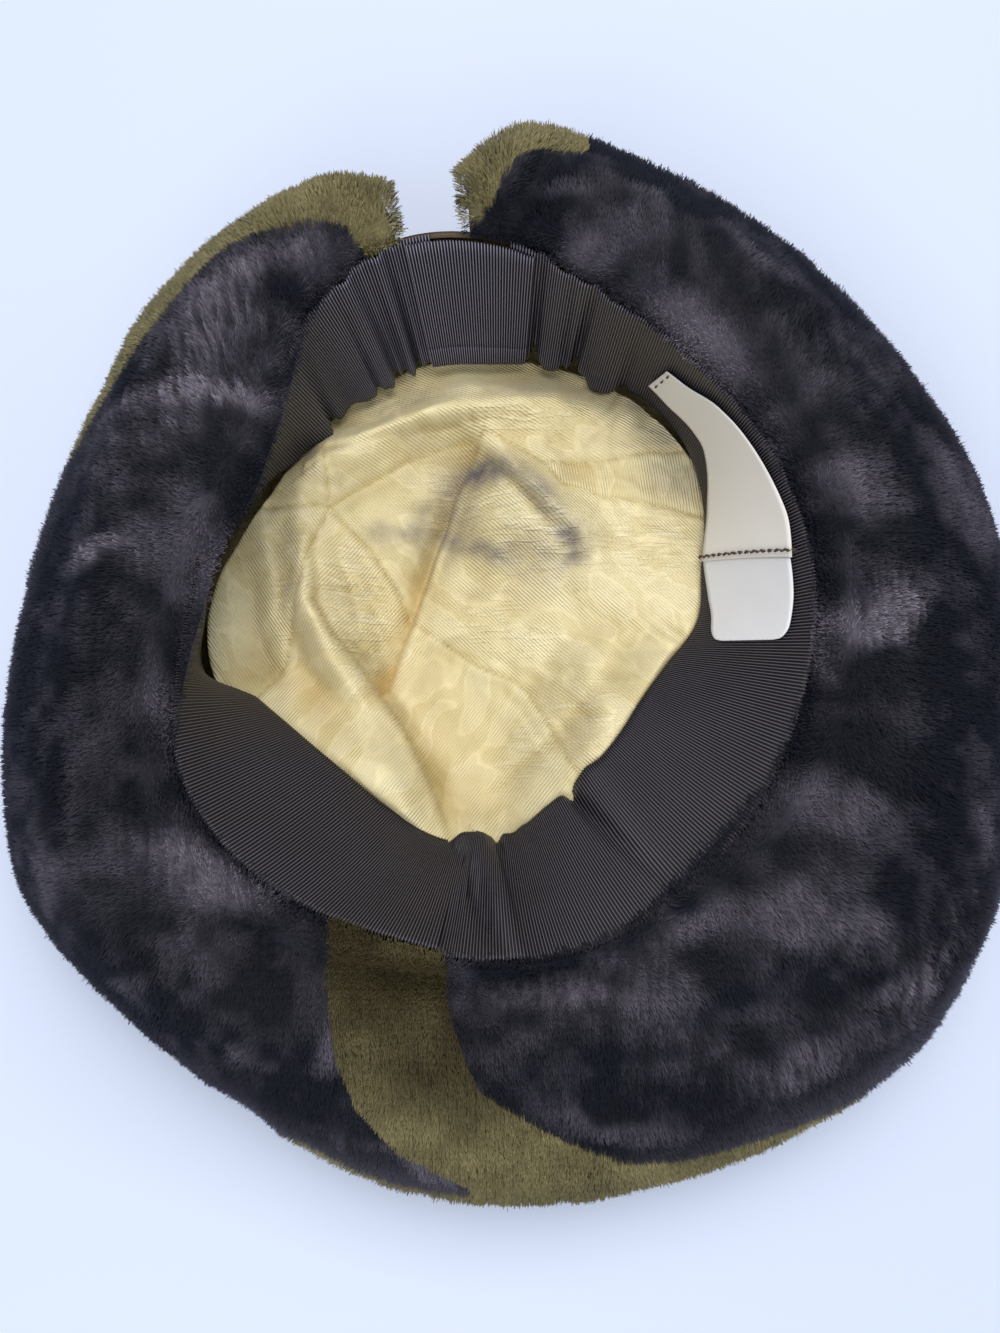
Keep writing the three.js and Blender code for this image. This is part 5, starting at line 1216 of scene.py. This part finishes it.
def nap_marks(x, y):
    """Short curved marks about 1.4 mm wide that the nap leaves, from -1 to 1, strong in some places only."""
    bend = 2.2 * lumps(x, y, 11, 25)
    marks = lumps(x + bend + 0.2 * y, 0.2 * y + 0.2 * bend, 0.95, 23)
    return marks * (0.3 + 0.2 * lumps(x, y, 21, 26) + 0.9 * spots(NAP, x, y))


def fur_mask(x, y):
    """Where the under side's plush is of the lighter mauve-grey, from 0 to 1."""
    bent_x, bent_y = x + 6 * lumps(x, y, 13, 27), y + 5 * lumps(x, y, 10, 28)
    cover = 1.15 * spots(PATCHES, bent_x, bent_y) + 0.05 + uneven(PATCH_LUMPS, x, y)
    return np.clip(cover * (1 + 0.7 * nap_marks(x, y)), 0, 1)


def in_olive(angle, t, side, x, y):
    """Whether places of the brim are of the olive plush."""
    found = (side < 0) | inside(OLIVE_OUTLINE, x, y)
    found |= (t > (1 + dark_end(angle)) / 2) & (column(BRIM, "olive", angle, False) > LEAST_RIM)
    for outline in OLIVE_RIMS:
        found |= inside(outline, x, y)
    return found


def plush_colours(pile, angle, t, side, x, y):
    """Colour of the plush and of its tips at places of the brim, before the differences of single fibres."""
    tones = (pile.dark, pile.light, pile.light_tip, pile.olive_shade_and_mottle, pile.olive, pile.olive_tip)
    dark, light, light_tip, deep, olive, olive_tip = (np.array(tone)[:3] for tone in tones)
    # Painted sheen: the under side grows lighter towards its outer edge, where the pile is seen from the side
    rim = 0.5 * smoothstep((t - 0.7) / 0.3) * (side > 0)
    # Painted shade: at the front the pile is darkest where it rolls in to the ribbon
    valley = 1 - 0.85 * (1 - smoothstep(t / 0.05)) * smoothstep(-y / 40)
    share = np.clip(np.maximum(fur_mask(x, y) * valley, rim), 0, 1)[..., None]
    mottled, mottled_tip = dark + (light - dark) * share, dark + (light_tip - dark) * share
    # Painted shade and sheen: the olive is deep near the head and pale where the pile is seen from the side,
    # with random lumps between
    out = smoothstep((np.hypot(x, y) - 112) / 50) * (y < 0) + (y >= 0)
    share = np.clip(0.1 + 0.75 * out + 0.2 * lumps(x, y, 9, 36), 0, 1)[..., None]
    green, green_tip = deep + (olive - deep) * share, deep + (olive_tip - deep) * share
    chosen = in_olive(angle, t, side, x, y)[..., None]
    return np.where(chosen, green, mottled), np.where(chosen, green_tip, mottled_tip)


def plush_zone(name, angle, t, side, x, y):
    """Whether places of the brim belong to one of the plush pieces."""
    olive_edge = (side > 0) & (t > dark_end(angle)) & (column(BRIM, "olive", angle, False) > LEAST_RIM)
    panel = (side > 0) & inside(OLIVE_OUTLINE, x, y) & ~olive_edge
    dark = (side > 0) & ~olive_edge & ~panel
    left = inside(LEFT_HALF, x, y)
    return {"left": dark & left, "right": dark & ~left, "panel": panel, "upper": (side < 0) | olive_edge}[name]


def skin_frame(angle, t, side):
    """Points of the brim's surface, its outward direction, the way to its outer edge, and the way round."""
    first, last = BRIM["at"][0], BRIM["at"][-1]
    here = brim_point(angle, t, side)
    before, after = np.clip(angle - 0.4, first, last), np.clip(angle + 0.4, first, last)
    round_way = brim_point(after, t, side) - brim_point(before, t, side)
    farther, nearer = np.minimum(t + 0.015, 1), np.maximum(t - 0.015, 0)
    out_way = brim_point(angle, farther, side) - brim_point(angle, nearer, side)
    normal, out_way = unit(np.cross(out_way, round_way) * side[:, None]), unit(out_way)
    return here, normal, out_way, np.cross(normal, out_way)


def plush_places(zone, count, rng):
    """Even random places of one plush piece over the brim's surface."""
    angles = np.linspace(BRIM["at"][0], BRIM["at"][-1], 601)
    shares = np.linspace(0, 1, 61)
    chosen = []
    for side in (1.0, -1.0):
        skin = brim_point(angles[:, None], shares[None, :], side)
        u, v = skin[1:, :-1] - skin[:-1, :-1], skin[:-1, 1:] - skin[:-1, :-1]
        area = np.linalg.norm(np.cross(u, v), axis=-1)
        between_angles, between_shares = (angles[:-1] + angles[1:]) / 2, (shares[:-1] + shares[1:]) / 2
        a, t = np.broadcast_arrays(between_angles[:, None], between_shares[None, :])
        wide = column(BRIM, "edge", a, False) - column(HEAD, "seam", a)
        tips = np.minimum(t + TIP_REACH * smoothstep(t / 0.2) / wide, 1)
        middle = brim_point(a, tips, side)
        held = plush_zone(zone, a, tips, np.full(a.shape, side), middle[..., 0], middle[..., 1])
        chosen.append(area * held)
    weight = np.stack(chosen).ravel()
    picked = rng.choice(len(weight), count, p=weight / weight.sum())
    side_at, a_at, t_at = np.unravel_index(picked, (2, 600, 60))
    angle = angles[a_at] + rng.random(count) * (angles[1] - angles[0])
    t = shares[t_at] + rng.random(count) * (shares[t_at + 1] - shares[t_at])
    return angle, t, np.where(side_at == 0, 1.0, -1.0)


def build_plush(name, zone, count, seed, pile):
    """The pile of one piece of plush: short fibres that lean and bunch as the nap does."""
    rng = np.random.default_rng(seed)
    angle, t, side = plush_places(zone, count, rng)
    skin, normal, out_way, round_way = skin_frame(angle, t, side)
    x, y = skin[:, 0], skin[:, 1]
    depth = pile.depth / MM * np.minimum(1, brim_half(angle, t) / (BRIM_THICK / 2))
    marks = nap_marks(x, y)

    # Along the inner edge the pile stands up and leans in over the ribbon
    lip = ((1 - smoothstep(t / LIP_PILE)) * (side > 0))[:, None]
    radial = polar(angle, np.ones(count), 0)
    normal = unit(normal * (1 - lip) + np.array([0, 0, 1]) * lip)
    out_way = unit(out_way * (1 - lip) + radial * lip)
    round_way = np.cross(normal, out_way)
    root = skin - normal * (depth - pile.marks / MM * marks)[:, None]
    swirl = uneven(SWIRLS, x, y) + 0.3 * rng.normal(size=count)
    lean_way = out_way * np.cos(swirl)[:, None] + round_way * np.sin(swirl)[:, None]
    first, last = BRIM["at"][0], BRIM["at"][-1]
    to_end = np.exp(-((angle - first) / 2.5) ** 2) - np.exp(-((last - angle) / 2.5) ** 2)
    around = unit(skin_frame(np.clip(angle, first + 1, last - 1), t, side)[3]) * side[:, None]
    lean_way = unit(lean_way - out_way * lip * 1.9 - around * to_end[:, None] * 0.8)
    ripple = lumps(x * 0.9 + y * 0.4, y * 0.9 - x * 0.4, 12, 33) + 0.5 * lumps(x, y, 6, 34)
    lean = pile.lean + np.radians(8 * ripple + rng.normal(size=count) * 8)
    way = unit(normal * np.cos(lean)[:, None] + lean_way * np.sin(lean)[:, None])
    length = pile.length / MM * (1 + 0.1 * rng.normal(size=count) + 0.1 * lumps(x, y, 7, 35))
    stray = rng.random(count) < 0.015
    length = np.clip(length * np.where(stray, 1.2, 1), 2, 5.5)
    tip = root + way * length[:, None]
    # Tips bunch towards a loose middle for each few millimetres
    cell = np.floor(tip[:, :2] / pile.bunch * MM).astype(int)
    random_x, random_y = rng.random((97, 97)), rng.random((97, 97))
    bunch = np.stack([values[cell[:, 0] % 97, cell[:, 1] % 97] for values in (random_x, random_y)], -1)
    bunch = (cell + 0.2 + 0.6 * bunch) * pile.bunch / MM
    tip[:, :2] += (bunch - tip[:, :2]) * pile.gather * (1 - stray[:, None])
    tip[:, 2] = np.maximum(tip[:, 2], FLOOR_GAP)
    width_way = unit(np.cross(way, normal) + 0.5 * rng.normal(size=(count, 3)))
    half = width_way * (pile.width / MM / 2 * (0.7 + 0.6 * rng.random(count)))[:, None]
    half *= np.sign(np.einsum("ij,ij->i", np.cross(way, half), normal))[:, None]
    ragged = way * (0.3 * rng.normal(size=count))[:, None]
    points = np.stack([root, tip - half - ragged, tip + half + ragged], 1)

    faces = np.arange(3 * count).reshape(-1, 3)
    per_row = int(math.ceil(math.sqrt(count)))
    cell_at = np.stack([np.arange(count) % per_row, np.arange(count) // per_row], -1)[:, None] / per_row
    wedge = np.array([[0.5, 0.05], [0.05, 0.95], [0.95, 0.95]]) / per_row
    made = make_object(name, points.reshape(-1, 3), [faces], [cell_at + wedge[None]], closed=False)

    fibre_side = unit(np.cross(way, half))
    leaning = normal - way * (0.35 * np.cos(lean))[:, None]
    soft = unit(unit(leaning) * 0.92 + fibre_side * 0.08 + 0.06 * rng.normal(size=(count, 3)))
    made.data.normals_split_custom_set_from_vertices(np.repeat(soft, 3, axis=0))

    marks = nap_marks(tip[:, 0], tip[:, 1])
    body, tips = plush_colours(pile, angle, t, side, tip[:, 0], tip[:, 1])
    own = np.exp(0.08 * rng.normal(size=(count, 1)) + 0.1 * lumps(x, y, 2.2, 37)[:, None])
    # Besides its own random tone, each fibre is painted lighter or darker with the ripples of its lean and the
    # nap marks, as light would catch them
    fade = own * (0.86 + 0.2 * (ripple * 0.5 + 0.5) + 0.4 * marks)[:, None]
    tips = body + (tips - body) * np.clip(0.35 + 0.5 * rng.random((count, 1)) + 0.5 * stray[:, None], 0, 1)
    # Painted shade deep in the pile: the root end of each fibre is darker
    shades = np.stack([body * 0.7, tips, tips * 0.92], 1) * fade[:, None]
    rgba = np.concatenate([np.clip(shades, 0, 1), np.ones((count, 3, 1))], -1)
    add_values(made.data, "pile_colour", rgba.reshape(-1, 4))
    return made


def build_backing(pile):
    """The dense lower pile with its padding: one soft body just under the tips, mottled as they are."""
    first, last = BRIM["at"][0] + END_BARE, BRIM["at"][-1] - END_BARE
    angle = np.linspace(first, last, 440)[:, None]
    u = np.linspace(0, 2, 80)[None, :]
    t, side = np.broadcast_arrays(np.sin(u * math.pi / 2), np.where(u < 1, 1.0, -1.0))
    skin = brim_point(angle, t, side)
    normal = unit(np.cross(np.gradient(skin, axis=1), np.gradient(skin, axis=0)))
    far = np.sqrt(np.clip((1 - t) / EDGE_ROUNDING, 0, 1))
    under = SHELL_UNDER - (SHELL_UNDER + SHELL_OVER) * (1 - far)
    lip = ((1 - smoothstep(t / LIP_BACKING)) * (side > 0))[..., None]
    rings = (skin - normal * under[..., None]) * (1 - lip) + (skin - [0, 0, 3]) * lip
    rings[..., 2] = np.maximum(rings[..., 2], 1)
    made = loft("brim_backing", rings)
    angle, t, side = np.broadcast_arrays(angle, t, side)
    body, tips = plush_colours(pile, angle, t, side, skin[..., 0], skin[..., 1])
    ends = np.tile(np.array(pile.dark)[:3], (2, 1))
    # Painted shade under the fibres: the backing takes their mean tone, a little darker
    shades = np.concatenate([(0.5 * (body + tips) * 0.85).reshape(-1, 3), ends])
    add_values(made.data, "pile_colour", np.concatenate([shades, np.ones((len(shades), 1))], 1))
    return made


# Stitches


def run_along(points, length, gap):
    """Starts and ends of stitches of a length, a gap apart, along a line of points."""
    steps = np.linalg.norm(np.diff(points, axis=0), axis=1)
    place = np.concatenate([[0], np.cumsum(steps)])
    begin = np.arange(0, place[-1] - length, length + gap)
    return [np.stack([np.interp(where, place, points[:, k]) for k in range(3)], -1)
            for where in (begin, begin + length)]


def joined_runs(runs):
    """The starts of all stitches of several runs, and their ends."""
    return [np.concatenate(places) for places in zip(*runs)]


def toward_head(points):
    """The way from places on the ribbon to the middle of the hollow."""
    return unit(points * [-1, -1, 0] + [0, 0, 12])


def build_ribbon_stitches():
    lines = []
    for start, stop in ((64, 80), (106.5, 124)):
        angle = np.linspace(start, stop, 400)
        lines.append(ribbon_point(angle, CASING_LINE, ribbon_lift(angle, CASING_LINE) + 0.15))
    angle = np.linspace(LAP_FROM + 0.6, LAP_TO - 0.6, 200)
    lines.append(ribbon_point(angle, LAP_LINE, LAP_LIFT))
    lines.append(ribbon_point(LAP_COLUMN, np.linspace(0.04, 0.8, 100), LAP_LIFT + 0.2))
    starts, stops = joined_runs([run_along(line, 1.5, 0.9) for line in lines])
    return stitches("ribbon_stitches", starts, stops, toward_head(starts), 0.35)


def build_label_stitches(face):
    """Brown thread at the folded top of the satin label, and a thick line of it across the lower end."""
    top = face[2] + toward_head(face[2]) * 0.35
    low = face[-3] + toward_head(face[-3]) * 0.6
    past = (low[0] - low[1]) * 2, (low[-1] - low[-2]) * 1.5
    low = np.concatenate([[low[0] + past[0]], low, [low[-1] + past[1]]])
    runs = [run_along(top, 3.2, 2.6), run_along(low, 2.4, 0.1), run_along(low + [0, 0.35, 0.1], 3.1, 0.1)]
    starts, stops = joined_runs(runs)
    return stitches("label_stitches", starts, stops, toward_head(starts), 0.8)


def build_crown_stitches():
    """Small stitches along the seams where they cross the tip."""
    runs = []
    for path in SEAMS.values():
        path = np.array(path, float)
        pieces = [np.linspace(a, b, 40, endpoint=False) for a, b in zip(path[:-1], path[1:])]
        fine = np.concatenate(pieces)
        radius, angle = np.hypot(*fine.T), np.degrees(np.arctan2(fine[:, 1], fine[:, 0]))
        fine = fine[radius < column(CROWN, "ring", angle) - TIP_RISE_TO - 3]
        z = tip_height(fine[:, 0], fine[:, 1]) + crown_relief(fine[:, 0], fine[:, 1])
        runs.append(run_along(np.column_stack([fine, z]), 1.3, 1.1))
    starts, stops = joined_runs(runs)
    return stitches("crown_stitches", starts, stops, np.tile([0.0, 0, 1], (len(starts), 1)), 0.28)


# Settings, shown in the sidebar


def colour(name, description, hex_colour):
    return bpy.props.FloatVectorProperty(name=name, description=description, subtype="COLOR", size=4,
                                         min=0, max=1, default=linear(hex_colour))


def size(name, description, millimetres):
    return bpy.props.FloatProperty(name=name, description=description, default=millimetres * MM, min=0,
                                   precision=5, unit="LENGTH")


def number(name, description, default, lowest=1):
    return bpy.props.IntProperty(name=name, description=description, default=default, min=lowest)


def power(name, description, watts):
    return bpy.props.FloatProperty(name=name, description=description, default=watts, min=0, unit="POWER")


class CrownSettings(bpy.types.PropertyGroup):
    cells: number("Tip cells", "Cells across the tip of the crown", 170, 20)
    rows: number("Wall rows", "Rows up the crown's wall", 22, 8)
    cream: colour("Cream", "Satin ground of the reverse", "#d6cca0")
    # Light is also the colour of the painted highlights along the crinkle streaks
    light: colour("Light", "Raised figure of the reverse", "#ebe4c6")
    deep: colour("Deep", "Fuller yellow of the ground", "#cabb8a")
    # Fold is the painted shade that the ground is darkened by down in its folds
    fold: colour("Fold", "Tint of the ground down in a fold", "#c6b998")
    # A warm ochre tone that the cloth takes in the valley
    ochre: colour("Stain", "Warm stain in the valley", "#b98f3c")
    smudge: colour("Smudge", "Paint that has bled through", "#4f4c5b")
    seam: colour("Seam", "Shade in a seam", "#b5a368")
    thread: colour("Thread", "Sewing thread of the seams", "#cdbf8e")
    paint_dark: colour("Painted dark", "Darkest paint of the right side", "#2a231d")
    paint_brown: colour("Painted brown", "Brown paint of the right side", "#4a3a28")
    paint_olive: colour("Painted olive", "Olive paint of the right side", "#5c5a2e")


class RibbonSettings(bpy.types.PropertyGroup):
    ribbon: colour("Ribbon", "Crests of the ribs", "#4c474e")
    # The paler tone of the ribs, for random wear and for the painted sheen at the back
    ribbon_wear_and_sheen: colour("Ribbon, worn", "Ribs where the ribbon has rubbed", "#7d7b8e")
    # Painted shade between the ribs
    painted_groove_shade: colour("Groove", "Between the ribs", "#030204")
    thread: colour("Thread", "Sewing thread", "#2b2122")


class LabelSettings(bpy.types.PropertyGroup):
    thick: size("Thickness", "Thickness of the labels", 0.3)
    satin: colour("Satin", "White of the satin label", "#dad8d5")
    tape: colour("Tape", "White of the care label", "#d2d4d8")
    thread: colour("Thread", "Brown thread on the labels", "#402519")


class PlushSettings(bpy.types.PropertyGroup):
    length: size("Pile length", "Length of a fibre's free part", 4)
    lean: bpy.props.FloatProperty(name="Lean", description="How far the fibres lean", subtype="ANGLE",
                                   default=math.radians(36))
    gather: bpy.props.FloatProperty(name="Gather", description="How far tips bunch together", subtype="FACTOR",
                                     default=0.12, min=0, max=1)
    depth: size("Root depth", "How far under the surface the fibres start", 2.8)
    marks: size("Nap marks", "Height of the short marks that the nap leaves", 0.7)
    width: size("Fibre width", "Width of a drawn fibre, coarser than the real one", 0.28)
    bunch: size("Bunch", "Distance between bunches of the pile", 2.5)
    left_count: number("Left fibres", "Fibres of the left piece", 150000)
    right_count: number("Right fibres", "Fibres of the right piece", 192000)
    panel_count: number("Olive fibres", "Fibres of the olive piece", 52000)
    upper_count: number("Upper fibres", "Fibres of the upper side", 120000)
    dark: colour("Dark", "Charcoal plush", "#080d1a")
    light: colour("Mauve", "Mauve-grey patches", "#534f59")
    light_tip: colour("Mauve tips", "Tips of the lighter fibres", "#747080")
    # Painted shade near the head, and random mottle, of the olive plush
    olive_shade_and_mottle: colour("Olive, deep", "Olive plush in its folds", "#352f18")
    olive: colour("Olive", "Olive plush", "#625b38")
    olive_tip: colour("Olive tips", "Tips of the olive fibres", "#8f8864")


class StageSettings(bpy.types.PropertyGroup):
    floor: colour("Floor", "Pale board under the hat", "#c0cbe1")
    light: power("Light", "Strength of the soft lamp", 25)
    fill: power("Fill", "Strength of the fill lamp", 9)
    world: bpy.props.FloatProperty(name="World", description="Strength of the light from all round",
                                   default=0.6, min=0)


# One operator for each piece or group of like pieces


def dress(piece, *materials):
    for material in materials:
        piece.data.materials.append(material)


class HAT_OT_crown(bpy.types.Operator):
    """Builds the pieced brocade crown with its folds, seams and smudges"""

    bl_idname = "hat.crown"
    bl_label = "Crown"

    def execute(self, context):
        settings = context.scene.hat_crown
        crown = build_crown(settings.cells, settings.rows)
        dress(crown, brocade_reverse_material(settings), brocade_painted_material(settings))
        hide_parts("crown_panel_back", "crown_panel_gusset", "crown_panel_right", "crown_panel_front",
                    "crown_panel_left", "crown_panel_corner")
        seams = build_crown_stitches()
        dress(seams, thread_material("cotton thread, cream", settings.thread))
        return {"FINISHED"}


class HAT_OT_sweatband(bpy.types.Operator):
    """Builds the grosgrain sweatband, its lapped piece at the back and their stitches"""

    bl_idname = "hat.sweatband"
    bl_label = "Sweatband"

    def execute(self, context):
        settings = context.scene.hat_ribbon
        grosgrain = grosgrain_material(settings)
        band, lap, thread = build_sweatband(), build_back_lap(), build_ribbon_stitches()
        dress(band, grosgrain)
        dress(lap, grosgrain)
        dress(thread, thread_material("polyester thread, dark brown", settings.thread))
        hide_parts("sweatband")
        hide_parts("sweatband_back_lap")
        return {"FINISHED"}


class HAT_OT_labels(bpy.types.Operator):
    """Builds the two bare labels sewn to the sweatband"""

    bl_idname = "hat.labels"
    bl_label = "Labels"

    def execute(self, context):
        settings = context.scene.hat_labels
        satin = label_points(SATIN_LABEL, 60, 24, SATIN_LIFT)
        tape = label_points(CARE_LABEL, 40, 24, CARE_LIFT, round_corners=5)
        face = build_label("satin_label_cloth", satin, settings.thick / MM, SATIN_FLAT)
        care = build_label("care_label_tape", tape, settings.thick / MM, CARE_FLAT)
        thread = build_label_stitches(satin)
        dress(face, label_material("satin label, woven polyester", settings.satin, 0.38, 0.9))
        dress(care, label_material("care label, woven nylon tape", settings.tape, 0.5, 0.7))
        dress(thread, thread_material("cotton thread, brown", settings.thread))
        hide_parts("satin_label")
        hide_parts("care_label")
        return {"FINISHED"}


class HAT_OT_plush(bpy.types.Operator):
    """Builds the plush of the brim: two mottled dark pieces, the olive piece and the olive upper side"""

    bl_idname = "hat.plush"
    bl_label = "Plush brim"

    def execute(self, context):
        settings = context.scene.hat_plush
        mottled = plush_material("mottled acrylic plush, knitted and sheared", COOL_GLEAM)
        olive = plush_material("olive acrylic plush, knitted and sheared", WARM_GLEAM)
        pieces = [
            ("plush_under_left", "left", settings.left_count, mottled, "brim_under_fur_left", "fur_dark"),
            ("plush_under_right", "right", settings.right_count, mottled, "brim_under_fur_right", "fur_dark"),
            ("plush_olive_panel", "panel", settings.panel_count, olive, "brim_olive_panel", "fur_olive"),
            ("plush_upper_side", "upper", settings.upper_count, olive, "brim_upper_fur", "fur_olive"),
        ]
        for seed, (name, zone, count, material, replaced, slot) in enumerate(pieces):
            piece = build_plush(name, zone, count, seed + 50, settings)
            dress(piece, material)
            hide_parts(replaced)
        backing = build_backing(settings)
        dress(backing, plush_material("knitted polyester backing, dark", COOL_GLEAM))
        return {"FINISHED"}


def add_lamp(name, place, wide, strength):
    """A square soft lamp that points at the hat."""
    lamp = bpy.data.lights.new(name, "AREA")
    lamp.shape, lamp.size, lamp.energy = "SQUARE", wide, strength
    lamp.color = linear(LAMP_TONE)[:3]
    made = bpy.data.objects.new(name, lamp)
    made.location = place
    made.rotation_euler = (Vector((0, 0, 0.05)) - made.location).to_track_quat("-Z", "Y").to_euler()
    bpy.context.scene.collection.objects.link(made)


class HAT_OT_stage(bpy.types.Operator):
    """Sets the pale floor, the soft light and the camera"""

    bl_idname = "hat.stage"
    bl_label = "Stage"

    def execute(self, context):
        settings, scene = context.scene.hat_stage, context.scene
        mesh = bpy.data.meshes.new("studio_floor")
        corners = [(i * FLOOR_HALF, j * FLOOR_HALF, 0) for i, j in ((-1, -1), (1, -1), (1, 1), (-1, 1))]
        mesh.from_pydata(corners, [], [(0, 1, 2, 3)])
        floor = bpy.data.objects.new("studio_floor", mesh)
        scene.collection.objects.link(floor)
        dress(floor, surface_material(settings.floor))
        world = bpy.data.worlds.new("studio")
        scene.world = world
        world.use_nodes = True
        background = world.node_tree.nodes["Background"]
        background.inputs["Color"].default_value = linear(SKY_TONE)
        background.inputs["Strength"].default_value = settings.world
        add_lamp("soft_lamp", LAMP_AT, LAMP_WIDE, settings.light)
        add_lamp("fill_lamp", FILL_AT, FILL_WIDE, settings.fill)
        lens = bpy.data.cameras.new("camera")
        lens.sensor_fit, lens.sensor_height, lens.clip_start = "VERTICAL", SENSOR_HEIGHT, 0.01
        lens.lens = SENSOR_HEIGHT / 2 / math.tan(math.radians(CAMERA_VIEW / 2))
        camera = bpy.data.objects.new("camera", lens)
        camera.location = Vector(CAMERA_AT) * MM
        camera.rotation_euler = (Vector(CAMERA_TO) * MM - camera.location).to_track_quat("-Z", "Y").to_euler()
        scene.collection.objects.link(camera)
        scene.camera = camera
        scene.view_settings.view_transform = "Standard"
        return {"FINISHED"}


class HAT_PT_panel(bpy.types.Panel):
    """Lists the pieces of the hat and their settings"""

    bl_idname = "HAT_PT_panel"
    bl_label = "Brocade hat"
    bl_space_type = "VIEW_3D"
    bl_region_type = "UI"
    bl_category = "Hat"

    def draw(self, context):
        for operator, settings in zip(OPERATORS, SETTINGS):
            box = self.layout.box()
            box.operator(operator.bl_idname)
            group = getattr(context.scene, settings)
            for name in type(group).__annotations__:
                box.prop(group, name)


OPERATORS = (HAT_OT_crown, HAT_OT_sweatband, HAT_OT_labels, HAT_OT_plush, HAT_OT_stage)
SETTINGS = {"hat_crown": CrownSettings, "hat_ribbon": RibbonSettings, "hat_labels": LabelSettings,
            "hat_plush": PlushSettings, "hat_stage": StageSettings}


def register():
    for cls in (*SETTINGS.values(), *OPERATORS, HAT_PT_panel):
        bpy.utils.register_class(cls)
    for name, cls in SETTINGS.items():
        setattr(bpy.types.Scene, name, bpy.props.PointerProperty(type=cls))


def unregister():
    for name in SETTINGS:
        delattr(bpy.types.Scene, name)
    for cls in (HAT_PT_panel, *reversed(OPERATORS), *reversed(SETTINGS.values())):
        bpy.utils.unregister_class(cls)


def main():
    register()
    for operator in OPERATORS:
        group, name = operator.bl_idname.split(".")
        getattr(getattr(bpy.ops, group), name)()


if __name__ == "__main__":
    main()
